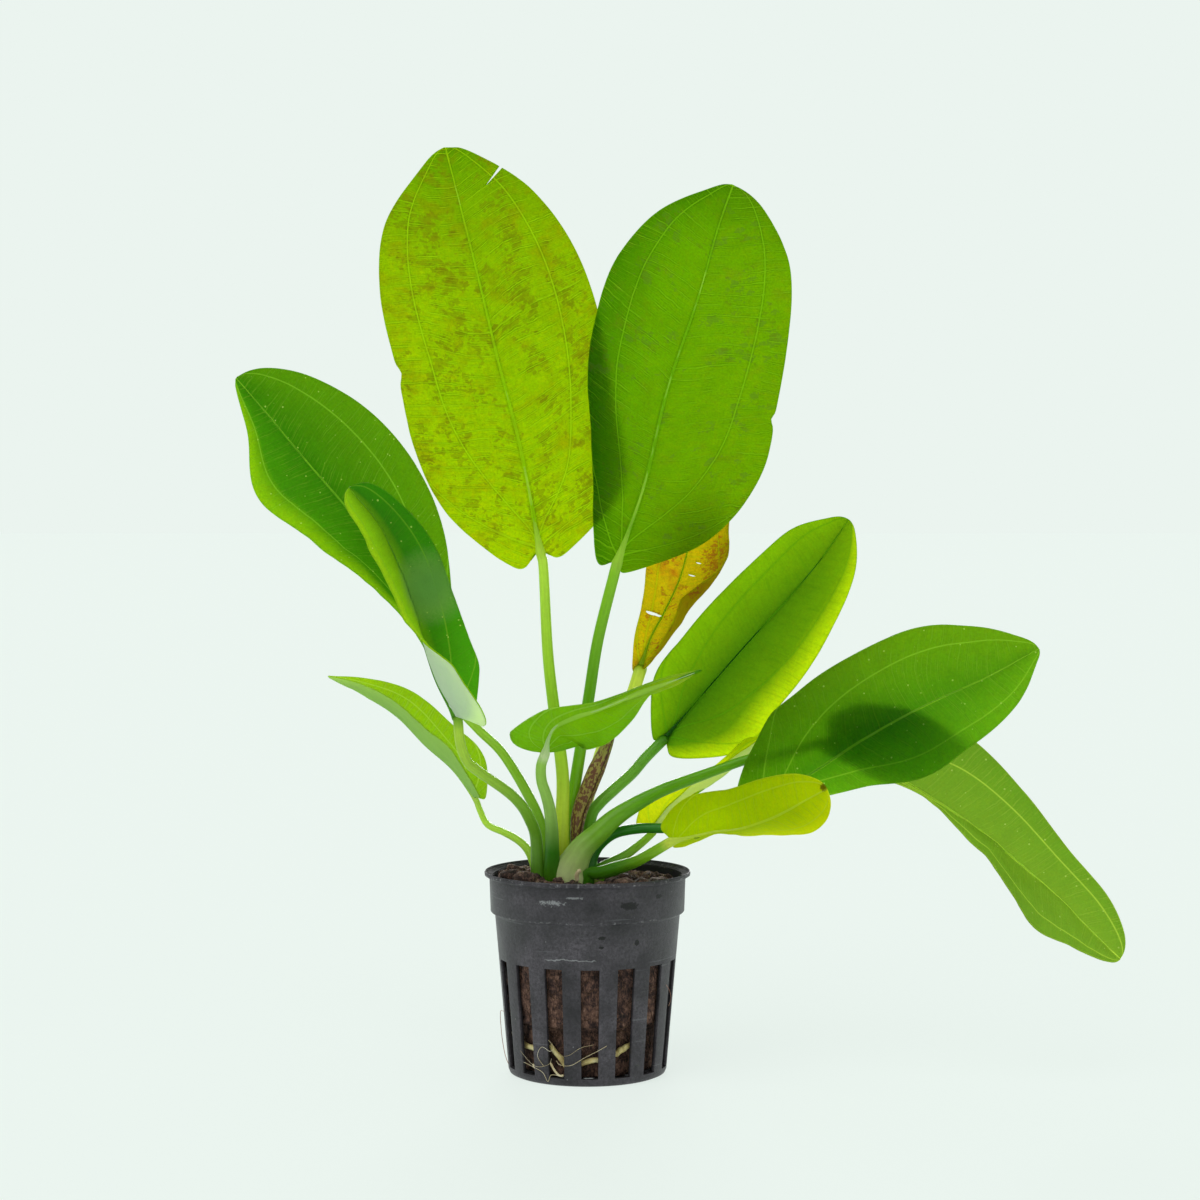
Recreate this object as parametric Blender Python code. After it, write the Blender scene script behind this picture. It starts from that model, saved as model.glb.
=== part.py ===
"""A young sword plant (echinodorus) in a small black net pot.

Metres, +Z up. The origin is the middle of the pot's underside, and the front of the plant faces -Y.
A leaf is a stem, which is a tapered tube along its route, and a blade. A blade is a thin sheet laid
out along its midrib: the half-widths of its outline, the fold of each half about the midrib and the
lobes beside the stem give its form. Routes, widths and heights in the lists are millimetres.
"""
import math

import bmesh
import bpy
import numpy as np
from mathutils import Vector

MM = 0.001

# Pot: a plant pot of the 5 cm class with slotted sides
POT_HEIGHT = 50.0 * MM
LIP_RADIUS = 25.5 * MM
LIP_DEPTH = 1.2 * MM
COLLAR_RADIUS = 24.3 * MM
STEP_HEIGHT = 40.2 * MM
STEP_DROP = 0.6 * MM
STEP_RADIUS = 24.0 * MM
BODY_RADIUS = 22.9 * MM
BASE_RADIUS = 19.6 * MM
BASE_EDGE = 1.1 * MM
POT_WALL = 0.9 * MM
LIP_CHAMFER = 0.2 * MM
SLOT_COUNT = 15
SLOT_TOP = 28.7 * MM
SLOT_BOTTOM = 2.0 * MM
SLOT_ANGLE = math.radians(12.2)
FIRST_SLOT = math.radians(-88.1)
BASE_SLOT_OUTER = 16.0 * MM
BASE_SLOT_INNER = 9.0 * MM

# Growing medium: it fills the pot, and is narrower at the bottom, where the roots circle
FIT_GAP = 0.45 * MM
MEDIUM_BOTTOM = 1.5 * MM
ROOT_SPACE_TOP = 13.0 * MM
ROOT_SPACE_RADIUS = 16.8 * MM
ROOT_SPACE_TAPER = 0.4 * MM
ROOT_SPACE_SHOULDER = 1.0 * MM
MEDIUM_TOP = 48.0 * MM
MEDIUM_TOP_INSET = 0.3 * MM
MEDIUM_TOP_RINGS = (0.45, 0.75, 0.94)
MEDIUM_EDGE_DROP = 2.5 * MM
MEDIUM_STEP_RISE = 1.5 * MM
MEDIUM_SLOPE = -0.15
MEDIUM_LUMP = 0.7 * MM

# Crown: the rootstock, sunk in the medium
CROWN_PLACE = Vector((-4.7, -0.3, 0.0)) * MM
CROWN_RADIUS = 10.6 * MM
CROWN_FLATTENING = 0.8
CROWN_TOP = 48.7 * MM
CROWN_BOTTOM = 43.4 * MM
CROWN_SIDE = 2.0 * MM
CROWN_FOOT_SHARE = 0.62
CROWN_SIDES = 20
POCKET_GAP = 0.35 * MM
POCKET_TOP = 58.0 * MM

# Roots: they circle between the medium and the wall, and show in the slots
ROOT_RADIUS = 0.75 * MM
ROOT_CIRCLE = 18.0 * MM
ROOT_STEP = math.radians(7)
ROOT_SIDES = 6
ROOTS = {
    "root_left": {"angles": (-112, -37), "heights": (12.0, 9.6, 8.6, 8.2)},
    "root_front": {"angles": (-30, 12), "heights": (9.8, 4.7, 6.0, 6.6)},
    "root_right": {"angles": (17, 36), "heights": (7.4, 8.0, 8.8, 9.6)},
    "root_back": {"angles": (115, 215), "heights": (7.0, 9.5, 7.5, 10.0)},
}

# Leaves
BLADE_THICKNESS = 0.5 * MM
JOIN_GAP = 0.75 * MM
LOBE_PLACE = 0.04
LOBE_ROUNDING = 1.3
LEAST_CURL = 0.01
MERGE = 0.01 * MM
ROWS_ALONG = 12
COLUMNS_ACROSS = 6
STEM_SPANS = 8
STEM_SIDES = 8
STEM_FOOT = 1.2 * MM
STEM_TAPER = 3.0 * MM
STEM_END_RADIUS = 0.45 * MM
CURVE_STEPS = 24
FACING = (0.0, -1.0, 0.12)

# Each leaf: stem route and radii at its two ends, midrib route, half-widths at seven equal steps of
# the outline's angle, fold of each half in degrees from base to tip (towards the side that faces
# out), curl of each half towards its edge, reach of the two lobes, and a wave of the edges
LEAVES = {
    "leaf_tall_left": {
        "stem": [(-6.3, -0.5, 49.1), (-6.3, -0.3, 61.9), (-6.2, 0.3, 74), (-8.4, 1.5, 90.6),
                 (-9.9, 2, 104.5), (-10.9, 2, 124.5)],
        "stem_radii": (1.75, 1.2),
        "midrib": [(-11.7, 2, 128.9), (-16.5, -2, 154.5), (-22, -6, 176.5), (-27.5, -11, 200),
                   (-34, -15, 226)],
        "left": (7.6, 21.6, 26.1, 25, 24.6, 19.3, 7.7), "right": (6.6, 24, 25.4, 26.7, 24.6, 17.8, 7.5),
        "left_fold": (-14, -6), "right_fold": (-4, 2), "lobes": (2.8, 1.2), "wave": (0.5, 3),
        "colour": "#9BC400",
    },
    "leaf_tall_right": {
        "stem": [(-5.6, 4.2, 49.1), (-3.9, 4.4, 65.5), (-1.9, 4.2, 78.7), (0.3, 3, 92.5),
                 (2.6, 1.5, 107), (6.4, 0, 122.5)],
        "stem_radii": (1.55, 1.35),
        "midrib": [(7.5, 0, 126.5), (14, -6, 145.5), (19.5, -12, 168.5), (26.5, -18, 189.5),
                   (31, -23, 205.5), (34.5, -26, 215.5)],
        "left": (5.5, 11.8, 16.9, 22, 23.3, 17.2, 6.3), "right": (3.8, 20, 27.6, 26.9, 23.5, 18.6, 9.9),
        "left_fold": (-20, -12), "right_fold": (-10, -8), "lobes": (2, 1.5), "wave": (0.5, 3),
        "colour": "#5FA000",
    },
    "leaf_wide_left": {
        "stem": [(-9.3, 3, 49.1), (-11, 2.5, 58.8), (-13.8, 2.8, 66.4), (-20.9, 5, 78.1),
                 (-27.7, 8, 84.6), (-35.8, 10, 93.5)],
        "stem_radii": (1.35, 1.0),
        "midrib": [(-38.5, 11, 103), (-44, 14, 113.5), (-52.3, 18, 127), (-61, 22, 139),
                   (-72.5, 27, 152), (-81.5, 30, 162.5), (-91, 31, 173.5)],
        "left": (1.7, 6.6, 12.6, 14.3, 15.6, 7.2, 2.6), "right": (3, 11, 17.8, 21.2, 20.4, 15.4, 8),
        "left_fold": (75, 45, 10, 5), "right_fold": (8, 6), "lobes": (0.6, 2), "wave": (0.7, 2),
        "colour": "#3E8E00",
    },
    "leaf_folded_left": {
        "stem": [(-12.2, -3.5, 49.1), (-12.7, -4, 58.7), (-14.1, -6, 63.1), (-16.2, -8, 67),
                 (-19.6, -10, 70.6), (-26.2, -13, 75.6), (-29.1, -14, 78.3), (-30.7, -15, 83)],
        "stem_radii": (1.4, 1.2),
        "midrib": [(-31.5, -16, 89), (-36, -19, 97.5), (-39, -22, 107), (-41, -25, 115),
                   (-44, -29, 125), (-49, -33, 136), (-55.5, -35, 144)],
        "left": (8, 10.9, 11.4, 10.5, 9, 7, 4.5), "right": (4.5, 10.7, 10.8, 10, 9.5, 6.9, 4.5),
        "left_fold": (138, 118, 78, 58, 40), "right_fold": (0, -5), "lobes": (3, 0.5), "wave": (0.3, 2),
        "colour": "#1F6E00",
    },
    "leaf_small_left": {
        "stem": [(-12.8, 0.8, 49.1), (-14.6, 3, 54.2), (-17.1, 5, 56.6), (-20.9, 7, 58.5),
                 (-25, 9, 60.1), (-26.8, 10, 63)],
        "stem_radii": (1.0, 0.75),
        "midrib": [(-28.5, 10, 67), (-34.3, 13, 73.9), (-41.3, 17, 79.5), (-48.8, 21, 86.5),
                   (-57.8, 25, 91.9), (-67, 28, 96.5)],
        "left": (3.4, 8, 9, 8, 6.5, 4, 2), "right": (2.5, 8.2, 8.7, 8.4, 6.7, 3.7, 1.1),
        "left_fold": (112, 112), "right_fold": (-10, -15), "lobes": (1, 1.5), "wave": (0.3, 2),
        "colour": "#9CCB10",
    },
    "leaf_front": {
        "stem": [(-8.7, -5, 49.1), (-8.7, -5.5, 54.4), (-8.7, -7, 60.8), (-9.2, -9, 66.1),
                 (-10.1, -11, 70), (-11.1, -12, 73.3), (-11.2, -13, 77)],
        "stem_radii": (1.7, 1.2),
        "midrib": [(-10.1, -13.5, 80.5), (-9.3, -15, 84), (-7.5, -17, 86.9), (-2.9, -19.5, 89.3),
                   (2.9, -22.5, 91.3), (12.1, -26.5, 95.4), (20.1, -29, 98.5), (26.9, -30.5, 101.2)],
        "left": (10.1, 5.4, 2.8, 2.3, 1.9, 1.9, 0.9), "right": (8.6, 8.8, 10.7, 9.4, 6.1, 3.2, 0.9),
        "left_fold": (38, -20, -52, -49), "right_fold": (-14, -41, -80, -68), "lobes": (-3.6, -3),
        "wave": (0.2, 2), "colour": "#4CA80A",
    },
    "leaf_yellow": {
        "stem": [(-2.6, 5.8, 49.1), (-1.6, 7.5, 58), (0.6, 10, 69), (5.2, 12, 83.1),
                 (10.5, 13, 91.1)],
        "stem_radii": (1.5, 1.6),
        "midrib": [(13.5, 14, 99.5), (16, 16, 107), (19.5, 18, 113.5), (24, 21, 123.5),
                   (27, 24, 137), (27.5, 26, 149.5)],
        "left": (2, 4, 6.5, 9.3, 7.5, 6, 3), "right": (4.5, 10.5, 14, 17.5, 11, 9, 4),
        "left_fold": (-10, -5), "right_fold": (10, 0), "right_curl": (110, 140, 60, 20),
        "lobes": (1, 0),
        "wave": (0.3, 2), "colour": "#D6D62A",
    },
    "leaf_right_upper": {
        "stem": [(0.8, 3, 49.1), (0, 3.8, 56), (0.9, 4.6, 62.9), (3, 5.5, 66), (7.1, 7.5, 69.6),
                 (11.3, 10.5, 73.1), (14.7, 13, 76.8)],
        "stem_radii": (1.5, 1.35),
        "midrib": [(19.5, 15, 81.5), (29, 20, 92), (40.5, 26, 104.5), (51, 31, 115.5),
                   (60.5, 34, 126.5), (68, 36, 137)],
        "left": (2.9, 12.4, 13.6, 13.9, 13, 10.9, 4.8), "right": (5.6, 17, 17.1, 16.3, 13.4, 9.5, 4.2),
        "left_fold": (10, 6), "right_fold": (10, 6), "lobes": (1.5, 2), "wave": (0.5, 3),
        "colour": "#5BA800",
    },
    "leaf_right_large": {
        "stem": [(0.2, -2.6, 49.1), (1, -1.8, 53.1), (3, -1.4, 56.5), (7, -1.6, 59.4),
                 (13.2, -3, 60.7), (19.1, -4.5, 60.9), (28, -6.5, 61.5), (36, -7, 64.5)],
        "stem_radii": (1.3, 1.15),
        "midrib": [(43, -6, 69), (54, -9, 74.5), (66.5, -15, 83.5), (80.5, -20, 92),
                   (95, -23, 99), (107.5, -24, 106)],
        "left": (4, 16.3, 18.5, 19, 17.6, 12.5, 5.2), "right": (2.5, 5.5, 10, 15.2, 13.6, 9.3, 3.4),
        "left_fold": (8, 6), "right_fold": (12, 8), "lobes": (5, 1), "wave": (0.5, 3),
        "colour": "#3C9300",
    },
    "leaf_low_right": {
        "stem": [(0.4, -6.4, 48.9), (3.6, -8.8, 50.6), (8.9, -12.5, 52.7), (12.8, -15.5, 54.6)],
        "stem_radii": (1.1, 1.6, 1.3, 1.2),
        "midrib": [(20.5, -20, 59.5), (29.5, -26, 62.5), (36, -31, 64), (44.5, -37, 68),
                   (55.5, -43, 74.5)],
        "left": (4.5, 9, 9.5, 9.5, 9, 7, 3.5), "right": (4.5, 5.2, 7, 9, 9.5, 7.6, 4.4),
        "left_fold": (0, -5), "right_fold": (-70, -86, -66, -35, -5), "lobes": (2, 2),
        "wave": (0.3, 2), "colour": "#9CC400",
    },
    "leaf_young_right": {
        "stem": [(3.2, -0.5, 49.1), (6.3, 0, 52), (9.8, 1, 53.8), (13.8, 2.6, 56.7)],
        "stem_radii": (1.2, 0.9),
        "midrib": [(16.5, 4, 59), (23, 7, 65), (31, 9.5, 70.5), (38.5, 12, 76),
                   (46.5, 15, 81.5)],
        "left": (4.2, 7.3, 5.1, 3.2, 3.2, 3.7, 1.4), "right": (4, 6, 6.5, 6.5, 6, 5, 3),
        "left_fold": (4, 4), "right_fold": (110, 112), "lobes": (2, 1.5), "wave": (0.2, 2),
        "colour": "#A9D800",
    },
    "leaf_drooping": {
        "stem": [(-4.2, -4.3, 49.1), (-1.4, -4.9, 55.8), (3, -4.7, 60), (7, -4.2, 63.6),
                 (13.1, -3.5, 67.4), (19.2, -3, 70.4), (28.5, -1.5, 73.7), (38.9, -1.5, 77.4),
                 (49.3, -4, 80.8)],
        "stem_radii": (2.3, 2.3, 1.6, 1.25, 1.1, 1.1),
        "midrib": [(58.7, -8.5, 83.7), (66.6, -12, 80.4), (76.5, -15.5, 73.7), (93.6, -14, 62.6),
                   (111.8, -10, 47.5), (130.9, -6, 28.9)],
        "left": (7.5, 15.5, 17.4, 14, 10.3, 8.7, 5), "right": (3, 3.4, 1, 6.9, 14.2, 8.8, 4.1),
        "left_fold": (18, 10, 4), "right_fold": (-20, 10, 54, 42, 35), "lobes": (0.5, 0),
        "wave": (0.5, 3), "colour": "#6FB030",
    },
}

# The youngest leaf, still rolled into a spindle
ROLLED_ROUTE = [(-3, 0.5, 49.1), (-2.4, 1.2, 62.2), (0.6, 2.6, 70.8), (3.8, 3.5, 78.2),
                (6.1, 3.8, 83.7), (7.1, 3.9, 87.2)]
ROLLED_RADII = (1.2, 1.3, 1.8, 2.1, 2.1, 1.4, 0.3)


def clear_scene():
    for obj in list(bpy.data.objects):
        bpy.data.objects.remove(obj, do_unlink=True)


def linear_colour(hex_colour):
    """An sRGB colour such as #3C9300 as linear red, green, blue and alpha."""
    channels = [int(hex_colour[i:i + 2], 16) / 255 for i in (1, 3, 5)]
    return [c / 12.92 if c <= 0.04045 else ((c + 0.055) / 1.055) ** 2.4 for c in channels] + [1.0]


def material(name, hex_colour, roughness):
    """A plain surface in the piece's own colour."""
    made = bpy.data.materials.new(name)
    made.use_nodes = True
    shader = made.node_tree.nodes["Principled BSDF"]
    shader.inputs["Base Color"].default_value = linear_colour(hex_colour)
    shader.inputs["Roughness"].default_value = roughness
    shader.inputs["Metallic"].default_value = 0.0
    return made


def add_object(name, data, hex_colour, roughness=0.5):
    obj = bpy.data.objects.new(name, data)
    bpy.context.scene.collection.objects.link(obj)
    data.materials.append(material(name + "_surface", hex_colour, roughness))
    return obj


def mesh_object(name, bm, hex_colour, roughness=0.5):
    """Turns a bmesh into a smooth-shaded object and frees it."""
    mesh = bpy.data.meshes.new(name)
    bm.to_mesh(mesh)
    bm.free()
    mesh.shade_smooth()
    mesh.set_sharp_from_angle(angle=math.radians(40))
    return add_object(name, mesh, hex_colour, roughness)


def smooth_points(points, steps=CURVE_STEPS):
    """Points of a smooth curve through the given millimetre points, in metres."""
    route = np.array(points, float) * MM
    ends = [2 * route[0] - route[1]], [2 * route[-1] - route[-2]]
    route = np.vstack([ends[0], route, ends[1]])
    curve = []
    for a, b, c, d in zip(route, route[1:], route[2:], route[3:]):
        for step in range(steps):
            t = step / steps
            curve.append(0.5 * (2 * b + (c - a) * t + (2 * a - 5 * b + 4 * c - d) * t ** 2
                                + (3 * b - a - 3 * c + d) * t ** 3))
    curve.append(route[-2])
    return np.array(curve)


class Route:
    """A smooth curve that can be read at any distance, also before its start."""

    def __init__(self, points):
        self.points = smooth_points(points)
        steps = np.linalg.norm(np.diff(self.points, axis=0), axis=1)
        self.reach = np.concatenate([[0.0], np.cumsum(steps)])
        self.length = self.reach[-1]
        slopes = np.gradient(self.points, self.reach, axis=0)
        self.slopes = slopes / np.linalg.norm(slopes, axis=1)[:, None]

    def read(self, distance):
        """The point and the direction at a distance along the curve."""
        inside = min(max(distance, 0.0), self.length)
        point = np.array([np.interp(inside, self.reach, self.points[:, i]) for i in range(3)])
        slope = np.array([np.interp(inside, self.reach, self.slopes[:, i]) for i in range(3)])
        slope /= np.linalg.norm(slope)
        return point + slope * (distance - inside), slope


def half_width(widths, angle):
    """Outline half-width at an angle that runs from 0 at the base to pi at the tip."""
    mirrored = [-widths[0] * MM, 0.0] + [w * MM for w in widths] + [0.0, -widths[-1] * MM]
    place = angle / math.pi * 8 + 1
    i = min(max(int(place), 1), 8)
    t = place - i
    a, b, c, d = mirrored[i - 1:i + 3]
    return 0.5 * (2 * b + (c - a) * t + (2 * a - 5 * b + 4 * c - d) * t ** 2
                  + (3 * b - a - 3 * c + d) * t ** 3)


def along_leaf(values, t):
    """A value given at equal steps from the base of a leaf to its tip."""
    return float(np.interp(t, np.linspace(0, 1, len(values)), values))


def blade_point(leaf, midrib, angle, across):
    """A point of the sheet: angle runs from base to tip, across from -1 (left) to 1 (right)."""
    side = "left" if across < 0 else "right"
    share = abs(across)
    t = (1 - math.cos(angle)) / 2
    lobe = leaf["lobes"][0 if across < 0 else 1] * MM + midrib.length * LOBE_PLACE
    lobe *= t / LOBE_PLACE * math.exp(1 - t / LOBE_PLACE)
    distance = midrib.length * t - share ** LOBE_ROUNDING * lobe
    centre, forward = midrib.read(distance)
    out = np.array(FACING)
    out -= forward * out.dot(forward)
    out /= np.linalg.norm(out)
    sideways = np.cross(forward, out) * (-1 if across < 0 else 1)
    width = half_width(leaf[side], angle)
    fold = math.radians(along_leaf(leaf[side + "_fold"], t))
    curl = math.radians(along_leaf(leaf.get(side + "_curl", (LEAST_CURL,)), t))
    flat = width / curl * (math.sin(fold + curl * share) - math.sin(fold))
    rise = width / curl * (math.cos(fold) - math.cos(fold + curl * share))
    height, count = leaf["wave"]
    ripple = height * MM * share ** 2 * math.sin(2 * math.pi * count * t + 2 * across)
    ripple *= math.sin(angle)
    turned = fold + curl * share
    return (centre + sideways * (flat - ripple * math.sin(turned))
            + out * (rise + ripple * math.cos(turned)))


def make_blade(name, leaf):
    midrib = Route(leaf["midrib"])
    bm = bmesh.new()
    bmesh.ops.create_grid(bm, x_segments=COLUMNS_ACROSS, y_segments=ROWS_ALONG, size=1.0)
    for vert in bm.verts:
        vert.co = blade_point(leaf, midrib, (vert.co.y + 1) / 2 * math.pi, vert.co.x)
    bmesh.ops.remove_doubles(bm, verts=bm.verts, dist=MERGE)
    bmesh.ops.triangulate(bm, faces=bm.faces)
    blade = mesh_object(name + "_blade", bm, leaf["colour"])
    wall = blade.modifiers.new("Thickness", "SOLIDIFY")
    wall.thickness = BLADE_THICKNESS
    wall.offset = 0.0
    return blade


def make_tube(name, points, radii, sides, hex_colour):
    """A closed tapered tube through the given points in metres."""
    curve = bpy.data.curves.new(name, "CURVE")
    curve.dimensions = "3D"
    curve.bevel_depth = 1.0
    curve.bevel_resolution = sides // 2 - 2
    curve.use_fill_caps = True
    spline = curve.splines.new("POLY")
    spline.points.add(len(points) - 1)
    for dot, point, radius in zip(spline.points, points, radii):
        dot.co = (*point, 1.0)
        dot.radius = radius
    return add_object(name, curve, hex_colour)


def stem_run(points, radii):
    """Points and radii along a stem, upright on a short foot and tapered at its far end."""
    route = Route([points[0], (*points[0][:2], points[0][2] + STEM_FOOT / MM)] + points[1:])
    distances = list(np.linspace(STEM_FOOT, route.length - STEM_TAPER, STEM_SPANS))
    distances = [0.0] + distances + [route.length]
    run = [route.read(distance)[0] for distance in distances]
    widths = [along_leaf(radii, distance / route.length) * MM for distance in distances]
    return run, widths[:-1] + [STEM_END_RADIUS]


def make_stem(name, leaf):
    """The stem runs from the crown to just short of the blade."""
    blade_start, blade_forward = Route(leaf["midrib"]).read(0.0)
    end = (blade_start - blade_forward * JOIN_GAP) / MM
    return make_tube(name + "_stem", *stem_run(leaf["stem"] + [tuple(end)], leaf["stem_radii"]),
                     STEM_SIDES, "#6FA820")


def make_rolled_leaf():
    points, radii = stem_run(ROLLED_ROUTE, ROLLED_RADII)
    return make_tube("leaf_rolled", points, radii, STEM_SIDES, "#7A5A22")


def make_root(name, root):
    """A root that circles inside the wall; its angles are counted from the pot's front."""
    start, end = [math.radians(a - 90) for a in root["angles"]]
    shares = np.linspace(0, 1, 2 + int((end - start) / ROOT_STEP))
    points = []
    for share in shares:
        turn = start + (end - start) * share
        height = along_leaf(root["heights"], share) * MM
        points.append((ROOT_CIRCLE * math.cos(turn), ROOT_CIRCLE * math.sin(turn), height))
    radii = [ROOT_RADIUS * (0.75 + 0.25 * math.sin(math.pi * share)) for share in shares]
    return make_tube(name, points, radii, ROOT_SIDES, "#E8E0A8")


def wall_radius(height):
    """Outer radius of the pot's tapered body."""
    share = (height - BASE_EDGE) / (STEP_HEIGHT - STEP_DROP - BASE_EDGE)
    return BASE_RADIUS + (BODY_RADIUS - BASE_RADIUS) * share


def pot_columns():
    """Angles of the slots' edges round the pot, in turn left and right edge."""
    pitch = 2 * math.pi / SLOT_COUNT
    edges = []
    for slot in range(SLOT_COUNT):
        middle = FIRST_SLOT + pitch * slot
        edges += [middle - SLOT_ANGLE / 2, middle + SLOT_ANGLE / 2]
    return edges


def revolve(bm, profile, angles):
    """Rings of vertices for a closed profile of (radius, height), joined by quads."""
    rings = []
    for radius, height in profile:
        ring = [bm.verts.new((radius * math.cos(a), radius * math.sin(a), height)) for a in angles]
        rings.append(ring)
    bands = []
    count = len(angles)
    for upper, lower in zip(rings, rings[1:]):
        band = []
        for i in range(count):
            j = (i + 1) % count
            band.append(bm.faces.new((upper[i], lower[i], lower[j], upper[j])))
        bands.append(band)
    return rings, bands


def make_pot():
    angles = pot_columns()
    profile = [
        (LIP_RADIUS, POT_HEIGHT),
        (LIP_RADIUS, POT_HEIGHT - LIP_DEPTH),
        (COLLAR_RADIUS, POT_HEIGHT - LIP_DEPTH - LIP_CHAMFER),
        (STEP_RADIUS, STEP_HEIGHT),
        (BODY_RADIUS, STEP_HEIGHT - STEP_DROP),
        (wall_radius(SLOT_TOP), SLOT_TOP),
        (wall_radius(SLOT_BOTTOM), SLOT_BOTTOM),
        (BASE_RADIUS, BASE_EDGE),
        (BASE_RADIUS - BASE_EDGE, 0.0),
        (BASE_SLOT_OUTER, 0.0),
        (BASE_SLOT_INNER, 0.0),
    ]
    bm = bmesh.new()
    rings, bands = revolve(bm, profile, angles)
    bm.faces.new(rings[-1])
    side_slots = bands[5][0::2]
    base_slots = bands[9][0::2]
    bmesh.ops.delete(bm, geom=side_slots + base_slots, context="FACES")
    bmesh.ops.recalc_face_normals(bm, faces=bm.faces)
    pot = mesh_object("net_pot", bm, "#3A3C40", 0.45)
    wall = pot.modifiers.new("Wall", "SOLIDIFY")
    wall.thickness = POT_WALL
    wall.offset = -1.0
    wall.use_even_offset = True
    return pot


def medium_height(x, y):
    """The medium's top: it is heaped up at the left and lumpy."""
    lumps = math.sin(310 * x + 1.3) * math.cos(270 * y + 0.4)
    return MEDIUM_TOP + MEDIUM_SLOPE * x + MEDIUM_LUMP * lumps


def make_medium():
    """The plug of growing medium, with a pocket in which the crown sits."""
    angles = pot_columns()
    inset = POT_WALL + FIT_GAP
    shoulder = ROOT_SPACE_TOP + ROOT_SPACE_SHOULDER
    top_radius = COLLAR_RADIUS - inset - MEDIUM_TOP_INSET
    top = [(top_radius * share, MEDIUM_TOP) for share in MEDIUM_TOP_RINGS]
    top.append((top_radius, MEDIUM_TOP - MEDIUM_EDGE_DROP))
    profile = top + [
        (BODY_RADIUS - inset, STEP_HEIGHT + MEDIUM_STEP_RISE),
        (wall_radius(shoulder) - inset, shoulder),
        (ROOT_SPACE_RADIUS, ROOT_SPACE_TOP),
        (ROOT_SPACE_RADIUS - ROOT_SPACE_TAPER, MEDIUM_BOTTOM),
    ]
    bm = bmesh.new()
    rings, _ = revolve(bm, profile, angles)
    for ring in rings[:len(top)]:
        for vert in ring:
            vert.co.z += medium_height(vert.co.x, vert.co.y) - MEDIUM_TOP
    bmesh.ops.contextual_create(bm, geom=rings[-1])
    middle = bm.verts.new((0, 0, medium_height(0, 0)))
    for i, vert in enumerate(rings[0]):
        bm.faces.new((rings[0][(i + 1) % len(angles)], middle, vert))
    bmesh.ops.triangulate(bm, faces=bm.faces)
    bmesh.ops.recalc_face_normals(bm, faces=bm.faces)
    medium = mesh_object("growing_medium", bm, "#4A352A", 0.95)
    pocket = crown_shape("crown_pocket", POCKET_GAP, POCKET_TOP)
    pocket.hide_render = True
    pocket.display_type = "WIRE"
    cut = medium.modifiers.new("Crown pocket", "BOOLEAN")
    cut.operation = "DIFFERENCE"
    cut.object = pocket
    return medium


def crown_shape(name, grow, top):
    """A squat bowl-shaped body with a flat top, larger by grow on every side but its top."""
    angles = [2 * math.pi * i / CROWN_SIDES for i in range(CROWN_SIDES)]
    profile = [
        (CROWN_RADIUS + grow, top),
        (CROWN_RADIUS + grow, CROWN_TOP - CROWN_SIDE),
        (CROWN_RADIUS * CROWN_FOOT_SHARE + grow, CROWN_BOTTOM - grow),
    ]
    bm = bmesh.new()
    rings, _ = revolve(bm, profile, angles)
    bmesh.ops.contextual_create(bm, geom=rings[0])
    bmesh.ops.contextual_create(bm, geom=rings[-1])
    bmesh.ops.scale(bm, vec=(1.0, CROWN_FLATTENING, 1.0), verts=bm.verts)
    bmesh.ops.translate(bm, vec=CROWN_PLACE, verts=bm.verts)
    bmesh.ops.recalc_face_normals(bm, faces=bm.faces)
    return mesh_object(name, bm, "#8F9A4A", 0.7)


def main():
    clear_scene()
    make_pot()
    make_medium()
    crown_shape("crown", 0.0, CROWN_TOP)
    for name, root in ROOTS.items():
        make_root(name, root)
    for name, leaf in LEAVES.items():
        make_blade(name, leaf)
        make_stem(name, leaf)
    make_rolled_leaf()


main()
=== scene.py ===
"""Dresses a young potted sword plant: leaf blades with veins and blotches, stems, roots, the
fibrous growing medium and the slotted net pot, on a pale floor in soft light. Metres, +Z up, front
towards -Y."""
import math
import random
from functools import partial, reduce

import bmesh
import bpy
import numpy as np
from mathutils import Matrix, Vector, noise


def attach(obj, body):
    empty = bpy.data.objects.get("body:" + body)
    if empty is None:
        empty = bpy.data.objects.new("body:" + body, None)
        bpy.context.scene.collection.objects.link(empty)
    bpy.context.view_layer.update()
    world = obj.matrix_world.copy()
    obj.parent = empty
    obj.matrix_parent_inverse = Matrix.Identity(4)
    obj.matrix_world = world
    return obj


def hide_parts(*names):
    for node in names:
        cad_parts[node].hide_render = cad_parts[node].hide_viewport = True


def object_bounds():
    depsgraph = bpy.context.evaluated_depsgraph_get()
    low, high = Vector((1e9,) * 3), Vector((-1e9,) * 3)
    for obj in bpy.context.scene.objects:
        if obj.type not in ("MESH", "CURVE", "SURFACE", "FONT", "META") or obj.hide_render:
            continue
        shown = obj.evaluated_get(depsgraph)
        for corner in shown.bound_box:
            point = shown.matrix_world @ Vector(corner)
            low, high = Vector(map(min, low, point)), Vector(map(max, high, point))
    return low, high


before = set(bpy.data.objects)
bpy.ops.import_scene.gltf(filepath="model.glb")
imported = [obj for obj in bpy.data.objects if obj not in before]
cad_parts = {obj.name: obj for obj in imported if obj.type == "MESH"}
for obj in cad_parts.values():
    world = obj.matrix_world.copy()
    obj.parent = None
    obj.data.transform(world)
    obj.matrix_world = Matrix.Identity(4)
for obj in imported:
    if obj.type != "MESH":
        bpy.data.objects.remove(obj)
CAD_BOX = [list(corner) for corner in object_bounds()]

bl_info = {
    "name": "Potted sword plant",
    "version": (1, 0, 0),
    "blender": (4, 5, 0),
    "location": "View3D > Sidebar > Plant",
    "description": "Builds the looks of a young sword plant in a net pot",
    "category": "Object",
}

MM = 0.001

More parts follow.
